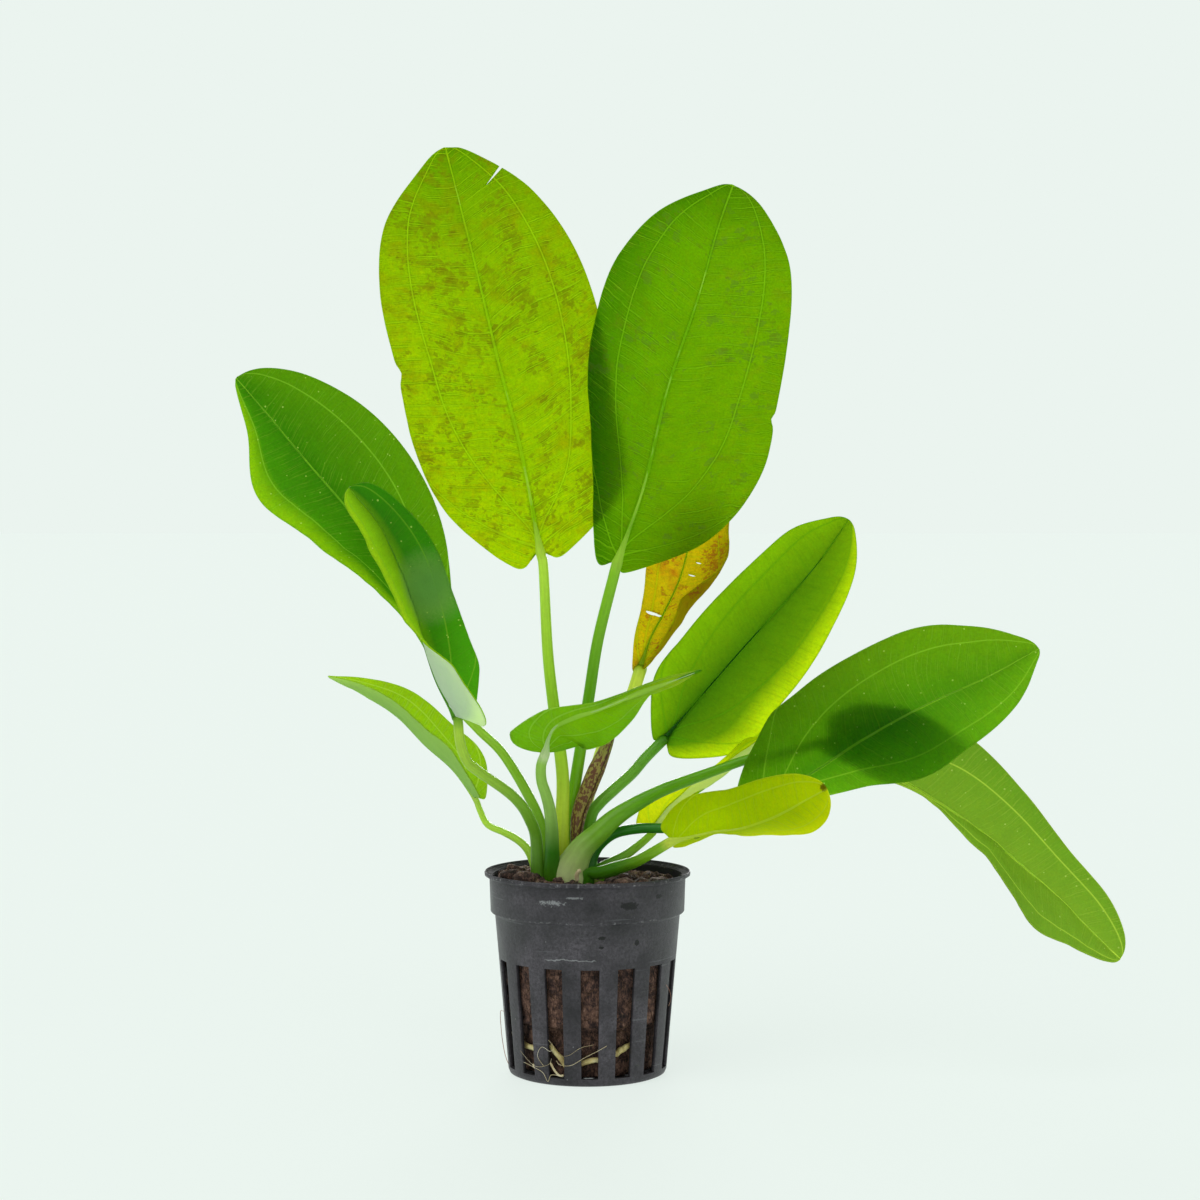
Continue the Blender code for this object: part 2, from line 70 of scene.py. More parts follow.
# Leaf sheets follow the solids. FACING: where the faces look. LOBE_PLACE, LOBE_ROUNDING: how the base
# reaches past the stalk. LEAST_CURL: in degrees, where a leaf has none. STEM_FOOT: straight start of
# a stalk. JOIN_GAP: between stalk and midrib. SOIL_DEPTH: how far a stalk goes into the medium
FACING = np.array((0.0, -1.0, 0.12))
LOBE_PLACE = 0.04
LOBE_ROUNDING = 1.3
LEAST_CURL = 0.01
STEM_FOOT = 1.2 * MM
JOIN_GAP = 0.75 * MM
SOIL_DEPTH = 3.5 * MM

# Each leaf: stem route, radii along it, midrib route, seven half-widths a side at equal steps of an
# angle from base to tip, folds and curls in degrees, reach of the two lobes, height and number of the
# edges' waves. Millimetres, as in the part's source
LEAVES = {
    "tall_left": {
        "stem": [(-6.3, -0.5, 49.1), (-6.3, -0.3, 61.9), (-6.2, 0.3, 74), (-8.4, 1.5, 90.6),
                 (-9.9, 2, 104.5), (-10.9, 2, 124.5)],
        "radii": (1.75, 1.2),
        "midrib": [(-11.7, 2, 128.9), (-16.5, -2, 154.5), (-22, -6, 176.5), (-27.5, -11, 200),
                   (-34, -15, 226)],
        "left": (7.6, 21.6, 26.1, 25, 24.6, 19.3, 7.7),
        "right": (6.6, 24, 25.4, 26.7, 24.6, 17.8, 7.5),
        "left_fold": (-14, -6), "right_fold": (-4, 2), "lobes": (2.8, 1.2), "wave": (0.5, 3),
    },
    "tall_right": {
        "stem": [(-5.6, 4.2, 49.1), (-3.9, 4.4, 65.5), (-1.9, 4.2, 78.7), (0.3, 3, 92.5),
                 (2.6, 1.5, 107), (6.4, 0, 122.5)],
        "radii": (1.55, 1.35),
        "midrib": [(7.5, 0, 126.5), (14, -6, 145.5), (19.5, -12, 168.5), (26.5, -18, 189.5),
                   (31, -23, 205.5), (34.5, -26, 215.5)],
        "left": (5.5, 11.8, 16.9, 22, 23.3, 17.2, 6.3),
        "right": (3.8, 20, 27.6, 26.9, 23.5, 18.6, 9.9),
        "left_fold": (-20, -12), "right_fold": (-10, -8), "lobes": (2, 1.5), "wave": (0.5, 3),
    },
    "wide_left": {
        "stem": [(-9.3, 3, 49.1), (-11, 2.5, 58.8), (-13.8, 2.8, 66.4), (-20.9, 5, 78.1),
                 (-27.7, 8, 84.6), (-35.8, 10, 93.5)],
        "radii": (1.35, 1.0),
        "midrib": [(-38.5, 11, 103), (-44, 14, 113.5), (-52.3, 18, 127), (-61, 22, 139),
                   (-72.5, 27, 152), (-81.5, 30, 162.5), (-91, 31, 173.5)],
        "left": (1.7, 6.6, 12.6, 14.3, 15.6, 7.2, 2.6), "right": (3, 11, 17.8, 21.2, 20.4, 15.4, 8),
        "left_fold": (75, 45, 10, 5), "right_fold": (8, 6), "lobes": (0.6, 2), "wave": (0.7, 2),
    },
    "folded_left": {
        "stem": [(-12.2, -3.5, 49.1), (-12.7, -4, 58.7), (-14.1, -6, 63.1), (-16.2, -8, 67),
                 (-19.6, -10, 70.6), (-26.2, -13, 75.6), (-29.1, -14, 78.3), (-30.7, -15, 83)],
        "radii": (1.4, 1.2),
        "midrib": [(-31.5, -16, 89), (-36, -19, 97.5), (-39, -22, 107), (-41, -25, 115),
                   (-44, -29, 125), (-49, -33, 136), (-55.5, -35, 144)],
        "left": (8, 10.9, 11.4, 10.5, 9, 7, 4.5), "right": (4.5, 10.7, 10.8, 10, 9.5, 6.9, 4.5),
        "left_fold": (138, 118, 78, 58, 40), "right_fold": (0, -5), "lobes": (3, 0.5),
        "wave": (0.3, 2),
    },
    "small_left": {
        "stem": [(-12.8, 0.8, 49.1), (-14.6, 3, 54.2), (-17.1, 5, 56.6), (-20.9, 7, 58.5),
                 (-25, 9, 60.1), (-26.8, 10, 63)],
        "radii": (1.0, 0.75),
        "midrib": [(-28.5, 10, 67), (-34.3, 13, 73.9), (-41.3, 17, 79.5), (-48.8, 21, 86.5),
                   (-57.8, 25, 91.9), (-67, 28, 96.5)],
        "left": (3.4, 8, 9, 8, 6.5, 4, 2), "right": (2.5, 8.2, 8.7, 8.4, 6.7, 3.7, 1.1),
        "left_fold": (112, 112), "right_fold": (-10, -15), "lobes": (1, 1.5), "wave": (0.3, 2),
    },
    "front": {
        "stem": [(-8.7, -5, 49.1), (-8.7, -5.5, 54.4), (-8.7, -7, 60.8), (-9.2, -9, 66.1),
                 (-10.1, -11, 70), (-11.1, -12, 73.3), (-11.2, -13, 77)],
        "radii": (1.7, 1.2),
        "midrib": [(-10.1, -13.5, 80.5), (-9.3, -15, 84), (-7.5, -17, 86.9), (-2.9, -19.5, 89.3),
                   (2.9, -22.5, 91.3), (12.1, -26.5, 95.4), (20.1, -29, 98.5), (26.9, -30.5, 101.2)],
        "left": (10.1, 5.4, 2.8, 2.3, 1.9, 1.9, 0.9), "right": (8.6, 8.8, 10.7, 9.4, 6.1, 3.2, 0.9),
        "left_fold": (38, -20, -52, -49), "right_fold": (-14, -41, -80, -68), "lobes": (-3.6, -3),
        "wave": (0.2, 2),
    },
    "yellow": {
        "stem": [(-2.6, 5.8, 49.1), (-1.6, 7.5, 58), (0.6, 10, 69), (5.2, 12, 83.1),
                 (10.5, 13, 91.1)],
        "radii": (1.5, 1.6),
        "midrib": [(13.5, 14, 99.5), (16, 16, 107), (19.5, 18, 113.5), (24, 21, 123.5),
                   (27, 24, 137), (27.5, 26, 149.5)],
        "left": (2, 4, 6.5, 9.3, 7.5, 6, 3), "right": (4.5, 10.5, 14, 17.5, 11, 9, 4),
        "left_fold": (-10, -5), "right_fold": (10, 0), "right_curl": (110, 140, 60, 20),
        "lobes": (1, 0), "wave": (0.3, 2),
    },
    "right_upper": {
        "stem": [(0.8, 3, 49.1), (0, 3.8, 56), (0.9, 4.6, 62.9), (3, 5.5, 66), (7.1, 7.5, 69.6),
                 (11.3, 10.5, 73.1), (14.7, 13, 76.8)],
        "radii": (1.5, 1.35),
        "midrib": [(19.5, 15, 81.5), (29, 20, 92), (40.5, 26, 104.5), (51, 31, 115.5),
                   (60.5, 34, 126.5), (68, 36, 137)],
        "left": (2.9, 12.4, 13.6, 13.9, 13, 10.9, 4.8),
        "right": (5.6, 17, 17.1, 16.3, 13.4, 9.5, 4.2),
        "left_fold": (10, 6), "right_fold": (10, 6), "lobes": (1.5, 2), "wave": (0.5, 3),
    },
    "right_large": {
        "stem": [(0.2, -2.6, 49.1), (1, -1.8, 53.1), (3, -1.4, 56.5), (7, -1.6, 59.4),
                 (13.2, -3, 60.7), (19.1, -4.5, 60.9), (28, -6.5, 61.5), (36, -7, 64.5)],
        "radii": (1.3, 1.15),
        "midrib": [(43, -6, 69), (54, -9, 74.5), (66.5, -15, 83.5), (80.5, -20, 92), (95, -23, 99),
                   (107.5, -24, 106)],
        "left": (4, 16.3, 18.5, 19, 17.6, 12.5, 5.2), "right": (2.5, 5.5, 10, 15.2, 13.6, 9.3, 3.4),
        "left_fold": (8, 6), "right_fold": (12, 8), "lobes": (5, 1), "wave": (0.5, 3),
    },
    "low_right": {
        "stem": [(0.4, -6.4, 48.9), (3.6, -8.8, 50.6), (8.9, -12.5, 52.7), (12.8, -15.5, 54.6)],
        "radii": (1.1, 1.6, 1.3, 1.2),
        "midrib": [(20.5, -20, 59.5), (29.5, -26, 62.5), (36, -31, 64), (44.5, -37, 68),
                   (55.5, -43, 74.5)],
        "left": (4.5, 9, 9.5, 9.5, 9, 7, 3.5), "right": (4.5, 5.2, 7, 9, 9.5, 7.6, 4.4),
        "left_fold": (0, -5), "right_fold": (-70, -86, -66, -35, -5), "lobes": (2, 2),
        "wave": (0.3, 2),
    },
    "young_right": {
        "stem": [(3.2, -0.5, 49.1), (6.3, 0, 52), (9.8, 1, 53.8), (13.8, 2.6, 56.7)],
        "radii": (1.2, 0.9),
        "midrib": [(16.5, 4, 59), (23, 7, 65), (31, 9.5, 70.5), (38.5, 12, 76), (46.5, 15, 81.5)],
        "left": (4.2, 7.3, 5.1, 3.2, 3.2, 3.7, 1.4), "right": (4, 6, 6.5, 6.5, 6, 5, 3),
        "left_fold": (4, 4), "right_fold": (110, 112), "lobes": (2, 1.5), "wave": (0.2, 2),
    },
    "drooping": {
        "stem": [(-4.2, -4.3, 49.1), (-1.4, -4.9, 55.8), (3, -4.7, 60), (7, -4.2, 63.6),
                 (13.1, -3.5, 67.4), (19.2, -3, 70.4), (28.5, -1.5, 73.7), (38.9, -1.5, 77.4),
                 (49.3, -4, 80.8)],
        "radii": (2.3, 2.3, 1.6, 1.25, 1.1, 1.1),
        "midrib": [(58.7, -8.5, 83.7), (66.6, -12, 80.4), (76.5, -15.5, 73.7), (93.6, -14, 62.6),
                   (111.8, -10, 47.5), (130.9, -6, 28.9)],
        "left": (7.5, 15.5, 17.4, 14, 10.3, 8.7, 5), "right": (3, 3.4, 1, 6.9, 14.2, 8.8, 4.1),
        "left_fold": (18, 10, 4), "right_fold": (-20, 10, 54, 42, 35), "lobes": (0.5, 0),
        "wave": (0.5, 3),
    },
}

# Side veins: share of the half-width that they come to, where along the leaf they bend, how sharply
SIDE_VEINS = ((0.68, 0.21, 1.3), (1.15, 0.11, 1.0))

# How each leaf looks, where it differs from PLAIN_LOOK. A place is a share of the angle from base to
# tip and of the half-width. On the blade:
# - across: colours from the left edge to the right one. along: colours from base to tip and shares
# - vein, veins: colour of the veins, and how clearly finer veins and the painted shade on the veins'
#   flanks show
# - under_seen: the front shows the leaf's underside. mottle, specks: how clearly these show
# - other: colour of the side turned away, its share and, where it differs, the light let through
# - blotch: colour, cover and size in mm of old pigment. gloss, shine: roughness and specular level
# - marks: place, radius in mm, softness, colour. holes: place, half-length and half-width in mm
# - nicks: side, share of the angle, depth and length in mm. slit: places of its two ends
# On the stalk: stem: colours from foot to blade. rib: the midrib's colour. flare: how its foot widens
PLAIN_LOOK = {"slot": "leaf_green", "under_seen": False, "mottle": 1.0, "specks": 0.0, "shine": 0.06,
              "flare": 0.35, "blotch": (), "spots_and_sheens": (), "nicks": (), "slit": (), "holes": ()}
LOOKS = {
    "tall_left": {
        "across": [(0, "#96B303"), (0.5, "#80A402"), (1, "#84A102")],
        "along": [(0, "#A9C400", 0.6), (0.4, "#9DBC00", 0.3), (0.75, "#769502", 0.4),
                  (1, "#3D7502", 0.8)],
        "slot": "leaf_yellow_green", "vein": "#B8DE20", "veins": (0.85, 0.8), "rib": "#D4F050",
        "under_seen": True, "other": ("#4E8E08", 0.55),
        "blotch": [("#74720F", 0.55, 1.4), ("#68640E", 0.4, 0.7)],
        "stem": [(0, "#C4D030"), (0.25, "#CCE440"), (0.5, "#9ED420"), (1, "#C6EE48")],
        "nicks": [(-1, 0.5, 1.0, 1.6)], "slit": ((0.823, 1.0), (0.786, 0.48)),
    },
    "tall_right": {
        # The dark left edge of the across colours is painted shade, where the tall left leaf lies
        # behind
        "across": [(0, "#1E5B02"), (0.3, "#649602"), (0.6, "#6D9A03"), (1, "#729B02")],
        "along": [(0, "#356900", 0.6), (0.2, "#548502", 0.2), (0.8, "#659702", 0.3),
                  (1, "#345F02", 0.7)],
        "vein": "#98CC28", "veins": (0.8, 0.9), "rib": "#C4EC50",
        "under_seen": True, "other": ("#357A08", 0.6),
        "blotch": [("#5A7434", 0.3, 1.5), ("#5E6E18", 0.2, 0.7)],
        "stem": [(0, "#478C11"), (0.2, "#87C31C"), (0.6, "#6AAF0F"), (1, "#95D02A")],
        "nicks": [(1, 0.47, 0.8, 1.5)],
    },
    "wide_left": {
        "across": [(0, "#83B904"), (0.2, "#236B02"), (0.5, "#135301"), (1, "#3F7502")],
        "along": [(0, "#165502", 0.3), (0.3, "#135201", 0.1), (1, "#125702", 0.3)],
        "vein": "#74B42C", "veins": (0.3, 0.15), "mottle": 0.8, "other": ("#9CC87C", 0.4),
        "specks": 0.5, "stem": [(0, "#68A41C"), (0.5, "#97CB32"), (1, "#B4E140")],
    },
    "folded_left": {
        # The across colours paint the left band lighter, as painted light where nothing lies behind,
        # and the right half dark, as painted shade where the wide left leaf lies behind
        "across": [(0, "#A8D715"), (0.2, "#7FBF0A"), (0.62, "#0E5402"), (1, "#176D01")],
        "along": [(0, "#238102", 0.3), (0.5, "#1A6302", 0.2), (1, "#0F5402", 0.3)],
        "slot": "leaf_dark_green", "vein": "#5A9C20", "veins": (0.1, 0.05), "mottle": 0.6,
        "other": ("#F0FFE4", 0.96, 0.45), "specks": 0.5, "gloss": 0.25, "shine": 0.2,
        # A painted sheen: the pale patch on the dark right half
        "spots_and_sheens": [((0.52, 0.5), 5.0, 2.6, "#5C9460")],
        "stem": [(0, "#549223"), (0.5, "#8CC035"), (1, "#BDE148")],
    },
    "small_left": {
        "across": [(0, "#7EB30A"), (0.5, "#87B60C"), (1, "#7CA80A")],
        "along": [(0, "#6FA80C", 0.5), (0.6, "#88B306", 0.3), (1, "#B6DA18", 0.4)],
        "slot": "leaf_yellow_green", "vein": "#B8D860", "veins": (0.4, 0.2), "mottle": 0.6,
        "other": ("#B4DC88", 0.8, 0.5), "stem": [(0, "#8CC323"), (0.5, "#B4E139"), (1, "#C6EE4F")],
    },
    "front": {
        "across": [(0, "#6CA304"), (0.5, "#81B207"), (1, "#5A9903")],
        "along": [(0, "#5C9106", 0.4), (0.5, "#ACD913", 0.2), (1, "#FFFF25", 0.5)],
        # rib: a pale midrib, brightened further as a painted highlight
        "vein": "#C0E088", "veins": (0.15, 0.3), "rib": "#E4F2C0", "mottle": 0.6,
        "under_seen": True, "other": ("#3C8C0A", 0.6), "gloss": 0.16, "shine": 0.5,
        "stem": [(0, "#4C7C10"), (0.3, "#3C8414"), (0.6, "#A0CC60"), (1, "#9ED053")],
    },
    "yellow": {
        "across": [(0, "#B29B13"), (0.5, "#B8A118"), (1, "#978107")],
        "along": [(0, "#C2B10E", 0.3), (0.5, "#D1BB1B", 0.2), (1, "#BEB10E", 0.3)],
        "slot": "leaf_yellow", "vein": "#A8CC10", "veins": (0.3, 0.5), "other": ("#96900C", 0.8),
        "blotch": [("#8C0A28", 0.55, 0.55), ("#8C2820", 0.2, 1.1)],
        "stem": [(0, "#C6DD39"), (0.5, "#EAF765"), (1, "#E1F356")],
        "holes": [((0.341, -0.48), 1.5, 0.5), ((0.343, -0.2), 1.0, 0.35), ((0.5, 0.16), 0.9, 0.22),
                  ((0.54, 0.23), 0.7, 0.2)],
    },
    "right_upper": {
        "across": [(0, "#6DA002"), (0.5, "#134502"), (0.8, "#477202"), (1, "#C2DE04")],
        "along": [(0, "#035E02", 0.6), (0.1, "#326A02", 0.1), (0.7, "#4F8302", 0.3),
                  (1, "#679102", 0.5)],
        "vein": "#2C7003", "veins": (0.25, 0.5), "mottle": 0.7, "other": ("#9CC870", 0.4),
        "stem": [(0, "#5AA61E"), (0.6, "#84C43C"), (1, "#6CB02C")],
    },
    "right_large": {
        "across": [(0, "#4D7D03"), (0.3, "#397102"), (0.5, "#226402"), (1, "#4C900C")],
        "along": [(0, "#2C7302", 0.5), (0.5, "#2D6702", 0.1), (1, "#517D07", 0.4)],
        "vein": "#7CB42C", "veins": (0.3, 0.15), "mottle": 0.8, "other": ("#9CC878", 0.4),
        "specks": 0.4, "gloss": 0.28, "shine": 0.18,
        "stem": [(0, "#337C1C"), (0.5, "#358920"), (1, "#459B1C")],
    },
    "low_right": {
        "across": [(0, "#B8CC03"), (0.5, "#C2D504"), (1, "#EFF20C")],
        "along": [(0, "#AAC502", 0.4), (0.5, "#B9CA03", 0.2), (1, "#E7E90A", 0.5)],
        "slot": "leaf_yellow_green", "vein": "#E0EC60", "veins": (0.2, 0.1), "mottle": 0.4,
        "under_seen": True, "other": ("#7CB008", 0.5),
        "stem": [(0, "#3A7A0C"), (0.5, "#4A8A12"), (1, "#8CC020")],
        "spots_and_sheens": [((0.93, -0.35), 1.3, 1.4, "#4A2C0C"), ((0.25, 0.12), 1.0, 1.4, "#5C7C10")],
    },
    "young_right": {
        "across": [(0, "#CCD102"), (0.5, "#D1D106"), (1, "#BECA02")],
        "along": [(0, "#DFDB06", 0.3), (1, "#B6C602", 0.4)],
        "slot": "leaf_yellow_green", "vein": "#8CC010", "veins": (0.2, 0.2), "mottle": 0.5,
        "other": ("#D4F0A0", 0.8, 0.5), "gloss": 0.2, "shine": 0.2,
        "stem": [(0, "#569F15"), (0.5, "#7ABA35"), (1, "#A7DD32")],
    },
    "drooping": {
        "across": [(0, "#376B0C"), (0.5, "#4E7818"), (1, "#4C7D1D")],
        "along": [(0, "#2A5D07", 0.5), (0.5, "#57891B", 0.2), (1, "#598520", 0.4)],
        "vein": "#C0E058", "veins": (0.15, 0.05), "mottle": 0.5, "other": ("#E0F8D4", 0.9, 0.45),
        "gloss": 0.2, "shine": 0.4, "specks": 0.3, "flare": 1.2,
        "stem": [(0, "#E0E8B0"), (0.1, "#C0D880"), (0.2, "#84BC30"), (0.4, "#68AD11"),
                 (1, "#76BA15")],
    },
}

ROLLED_ROUTE = [(-3, 0.5, 49.1), (-2.4, 1.2, 62.2), (0.6, 2.6, 70.8), (3.8, 3.5, 78.2),
                (6.1, 3.8, 83.7), (7.1, 3.9, 87.2)]
ROLLED_RADII = (1.2, 1.3, 1.8, 2.1, 2.1, 1.4, 0.3)

# Pot, as in the part's source
POT_HEIGHT = 50.0 * MM
LIP_RADIUS = 25.5 * MM
LIP_DEPTH = 1.2 * MM
COLLAR_RADIUS = 24.3 * MM
STEP_HEIGHT = 40.2 * MM
STEP_DROP = 0.6 * MM
STEP_RADIUS = 24.0 * MM
BODY_RADIUS = 22.9 * MM
BASE_RADIUS = 19.6 * MM
BASE_EDGE = 1.1 * MM
SLOT_COUNT = 15
SLOT_TOP = 28.7 * MM
SLOT_BOTTOM = 2.0 * MM
FIRST_SLOT = math.radians(-88.1)
BASE_SLOT_OUTER = 16.0 * MM
BASE_SLOT_INNER = 9.0 * MM
WALL = 0.9 * MM
PLUG_GAP = 0.3 * MM

# Steps of the turned wall for one slot and its bar, and those that the slot takes
STEPS_A_SLOT = 12
SLOT_STEPS = 6

# The plug fills the pot, and is slimmer below its waist, where the thick roots circle round it
MEDIUM_TOP = 47.4 * MM
WAIST_HEIGHT = 13.4 * MM
WAIST_RADIUS = 17.4 * MM
WAIST_TAPER = 0.08
CROWN_PLACE = Vector((-4.7, -0.3, 46.2)) * MM
CROWN_SIZE = Vector((10.2, 8.2, 2.6)) * MM

ROOTS = {
    "root_left": {"angles": (-112, -37), "heights": (12.0, 9.6, 8.6, 8.2)},
    "root_front": {"angles": (-30, 12), "heights": (9.8, 4.7, 6.0, 6.6)},
    "root_right": {"angles": (17, 36), "heights": (7.4, 8.0, 8.8, 9.6)},
    "root_back": {"angles": (115, 215), "heights": (7.0, 9.5, 7.5, 10.0)},
}
ROOT_CIRCLE = 18.0 * MM

# Stage, in metres. The camera looks down by CAMERA_DIP radians, fitted to the pot's ellipses
FLOOR_RADIUS = 150.0
CAMERA_PLACE = Vector((3.1, -632.0, 134.0)) * MM
CAMERA_DIP = 0.027


def linear(hex_colour):
    """An sRGB colour such as #3C9300 as linear red, green, blue and alpha."""
    channels = [int(hex_colour[i:i + 2], 16) / 255 for i in (1, 3, 5)]
    return [c / 12.92 if c <= 0.04045 else ((c + 0.055) / 1.055) ** 2.4 for c in channels] + [1.0]


# The setting that the second word of a node's kind gives, as in "Math ADD"
MODES = {"Math": "operation", "VectorMath": "operation", "Mix": "data_type",
         "MapRange": "interpolation_type"}


def feed(node, values):
    """Sets a node's inputs, by name or number. A node or socket is linked, #3C9300 is a colour."""
    for key, value in values.items():
        if isinstance(value, bpy.types.Node):
            value = next(socket for socket in value.outputs if socket.enabled)
        if isinstance(value, bpy.types.NodeSocket):
            node.id_data.links.new(value, node.inputs[key])
        else:
            node.inputs[key].default_value = linear(value) if isinstance(value, str) else value


def add_node(tree, kind, *values, named=None, stops=None, **settings):
    """Adds a shader node: values go to the inputs in use, in order, and named ones by name."""
    kind, _, mode = kind.partition(" ")
    made = tree.nodes.new("ShaderNode" + kind)
    if mode:
        settings[MODES[kind]] = mode
    for key, value in settings.items():
        setattr(made, key, value)
    if stops:
        ramp = made.color_ramp
        ramp.elements.remove(ramp.elements[1])
        ramp.elements[0].position = stops[0][0]
        for i, (position, colour) in enumerate(stops):
            stop = ramp.elements.new(position) if i else ramp.elements[0]
            stop.color = linear(colour) if isinstance(colour, str) else colour
    used = [i for i, socket in enumerate(made.inputs) if socket.enabled]
    feed(made, {**dict(zip(used, values)), **(named or {})})
    return made


def new_surface(name):
    """A new node material, its Principled shader and what adds nodes to it."""
    surface = bpy.data.materials.new(name)
    surface.use_nodes = True
    tree = surface.node_tree
    return surface, tree.nodes["Principled BSDF"], partial(add_node, tree)


def let_light_through(add, shader, share, glow, bump):
    """Mixes light that passes through the tissue into the surface, by a share."""
    through = add("BsdfTranslucent", glow, bump)
    output = shader.id_data.nodes["Material Output"]
    feed(output, {"Surface": add("MixShader", share, shader, through)})


def leaf_veins(add, look, seen, place, moved):
    """How much each spot is a vein's pale core or painted shade on its flanks, and the slanted
    distance along the leaf that the cross veins follow. place holds the spot's distances in mm and
    its shares of the leaf, and moved the spot itself, at a place of its own in the noise."""
    contrast = bpy.context.scene.plant_leaves.vein_shade_contrast
    strength, flank = [share * (1.0 if seen else 0.15) for share in look["veins"]]

    # Midrib and side veins: a pale core between flanks darkened as painted shade beside the raised
    # vein.
    # The inner side vein leaves the midrib near the base and keeps to two thirds of the half-width,
    # the outer one soon reaches the edge
    to_rib = add("Math DIVIDE", place["lateral"], add("Math SUBTRACT", 1.55, place["share_along"]))
    lights = [add("MapRange SMOOTHSTEP", to_rib, 0.16, 0.36, 1.0, 0.0)]
    flank_shades = [add("MapRange SMOOTHSTEP", to_rib, 0.36, 0.8, flank * contrast, 0.0)]
    for reach, start, bend in SIDE_VEINS:
        rise = add("Math POWER", add("Math DIVIDE", place["share_along"], start), bend)
        fall = add("Math EXPONENT", add("Math MULTIPLY", rise, -1.0))
        where = add("Math MULTIPLY_ADD", fall, -reach, reach)
        beside = add("Math SUBTRACT", 1.0, add("Math DIVIDE", where, place["share_across"]))
        near = add("Math MULTIPLY", add("Math ABSOLUTE", beside), place["lateral"])
        lights.append(add("MapRange SMOOTHSTEP", near, 0.08, 0.26, 0.5 + 0.4 * strength, 0.0))
        flank_shades.append(add("MapRange SMOOTHSTEP", near, 0.25, 0.7, flank * contrast, 0.0))

    # Cross veins slope towards the tip, one in 2.6 mm, with a finer set between them, broken up as on
    # the plant. They are about 0.1 mm wide there, and are drawn 0.2 mm wide to show
    slope = add("Math MULTIPLY_ADD", place["lateral"], -0.3, place["along"])
    slant = add("Math MULTIPLY_ADD", add("TexNoise", moved, 0.05, 0.0), 8.0, slope)
    slant = add("Math MULTIPLY_ADD", add("TexNoise", moved, 0.5, 1.0), 0.6, slant)
    breaks = add("TexNoise", moved, 0.2, 2.0, 0.6)
    for spacing, shift, core, part in ((2.6, 0.0, 0.18, 0.95), (1.1, 0.5, 0.14, 0.5)):
        away = add("Math PINGPONG", add("Math ADD", slant, shift), spacing / 2)
        most = part * strength
        shown = add("MapRange SMOOTHSTEP", breaks, 0.4, 0.58, 0.15 * most, most)
        pale = add("MapRange SMOOTHSTEP", away, 0.04, core, 1.0, 0.0)
        # The darker band beside each cross vein's pale core is painted shade under the raised vein
        deep = add("MapRange SMOOTHSTEP", away, core, core * 2.6, 1.0, 0.0)
        lights.append(add("Math MULTIPLY", pale, shown))
        flank_shades.append(add("Math MULTIPLY", deep, shown))
    higher = partial(add, "Math MAXIMUM")
    return reduce(higher, lights), reduce(higher, flank_shades), slant


def leaf_ground(add, look, seen, place, moved, cells, large, fine):
    """The leaf's own colour: from edge to edge, then from base to tip, then mottled from 9 mm down to
    0.3 mm, with what is left of old pigment in the cells between the cross veins."""
    mottle = look["mottle"]
    spread = add("Math MULTIPLY_ADD", place["across"], 0.5, 0.5)
    across = add("ValToRGB", spread, stops=look["across"])
    stops = [(where, linear(colour)[:3] + [share]) for where, colour, share in look["along"]]
    along = add("ValToRGB", place["share_along"], stops=stops)
    ground = add("Mix RGBA", along.outputs["Alpha"], across, along)
    patch = add("TexVoronoi", cells, 0.62, named={"Smoothness": 0.25}, feature="SMOOTH_F1")
    patch = add("SeparateXYZ", patch.outputs["Color"])
    value = add("Math MULTIPLY_ADD", fine, 1.4 * mottle, 1.0 - 0.95 * mottle)
    value = add("Math MULTIPLY_ADD", large, 0.4 * mottle, value)
    value = add("Math MULTIPLY_ADD", patch.outputs["Y"], 0.14 * mottle, value)
    ground = add("HueSaturation", named={"Color": ground, "Value": value})
    warm = add("Mix RGBA", 1.0, ground, (1.3, 1.03, 0.8, 1.0), blend_type="MULTIPLY")
    warmth = add("TexNoise", moved, 0.7, 4.0, 0.7)
    warmth = add("MapRange SMOOTHSTEP", warmth, 0.46, 0.62, 0.0, 0.8 * mottle)
    ground = add("Mix RGBA", warmth, ground, warm)
    if not seen:
        ground = add("Mix RGBA", look["other"][1], ground, look["other"][0])
    for colour, cover, size in look["blotch"]:
        part = add("VectorMath SCALE", cells, 1.7 / size)
        pigment = add("TexVoronoi", part, 0.62, named={"Smoothness": 0.2}, feature="SMOOTH_F1")
        chance = add("Math MULTIPLY_ADD", fine, 0.8, add("SeparateXYZ", pigment.outputs["Color"]))
        where = add("TexNoise", moved, 0.16, 3.0, 0.6)
        where = add("MapRange SMOOTHSTEP", where, 0.36, 0.64, 0.15, 0.4 + cover)
        shown = add("Math SUBTRACT", where, chance)
        shown = add("MapRange SMOOTHSTEP", shown, 0.16, -0.06, 0.7, 0.0)
        ground = add("Mix RGBA", shown, ground, colour)
    return ground


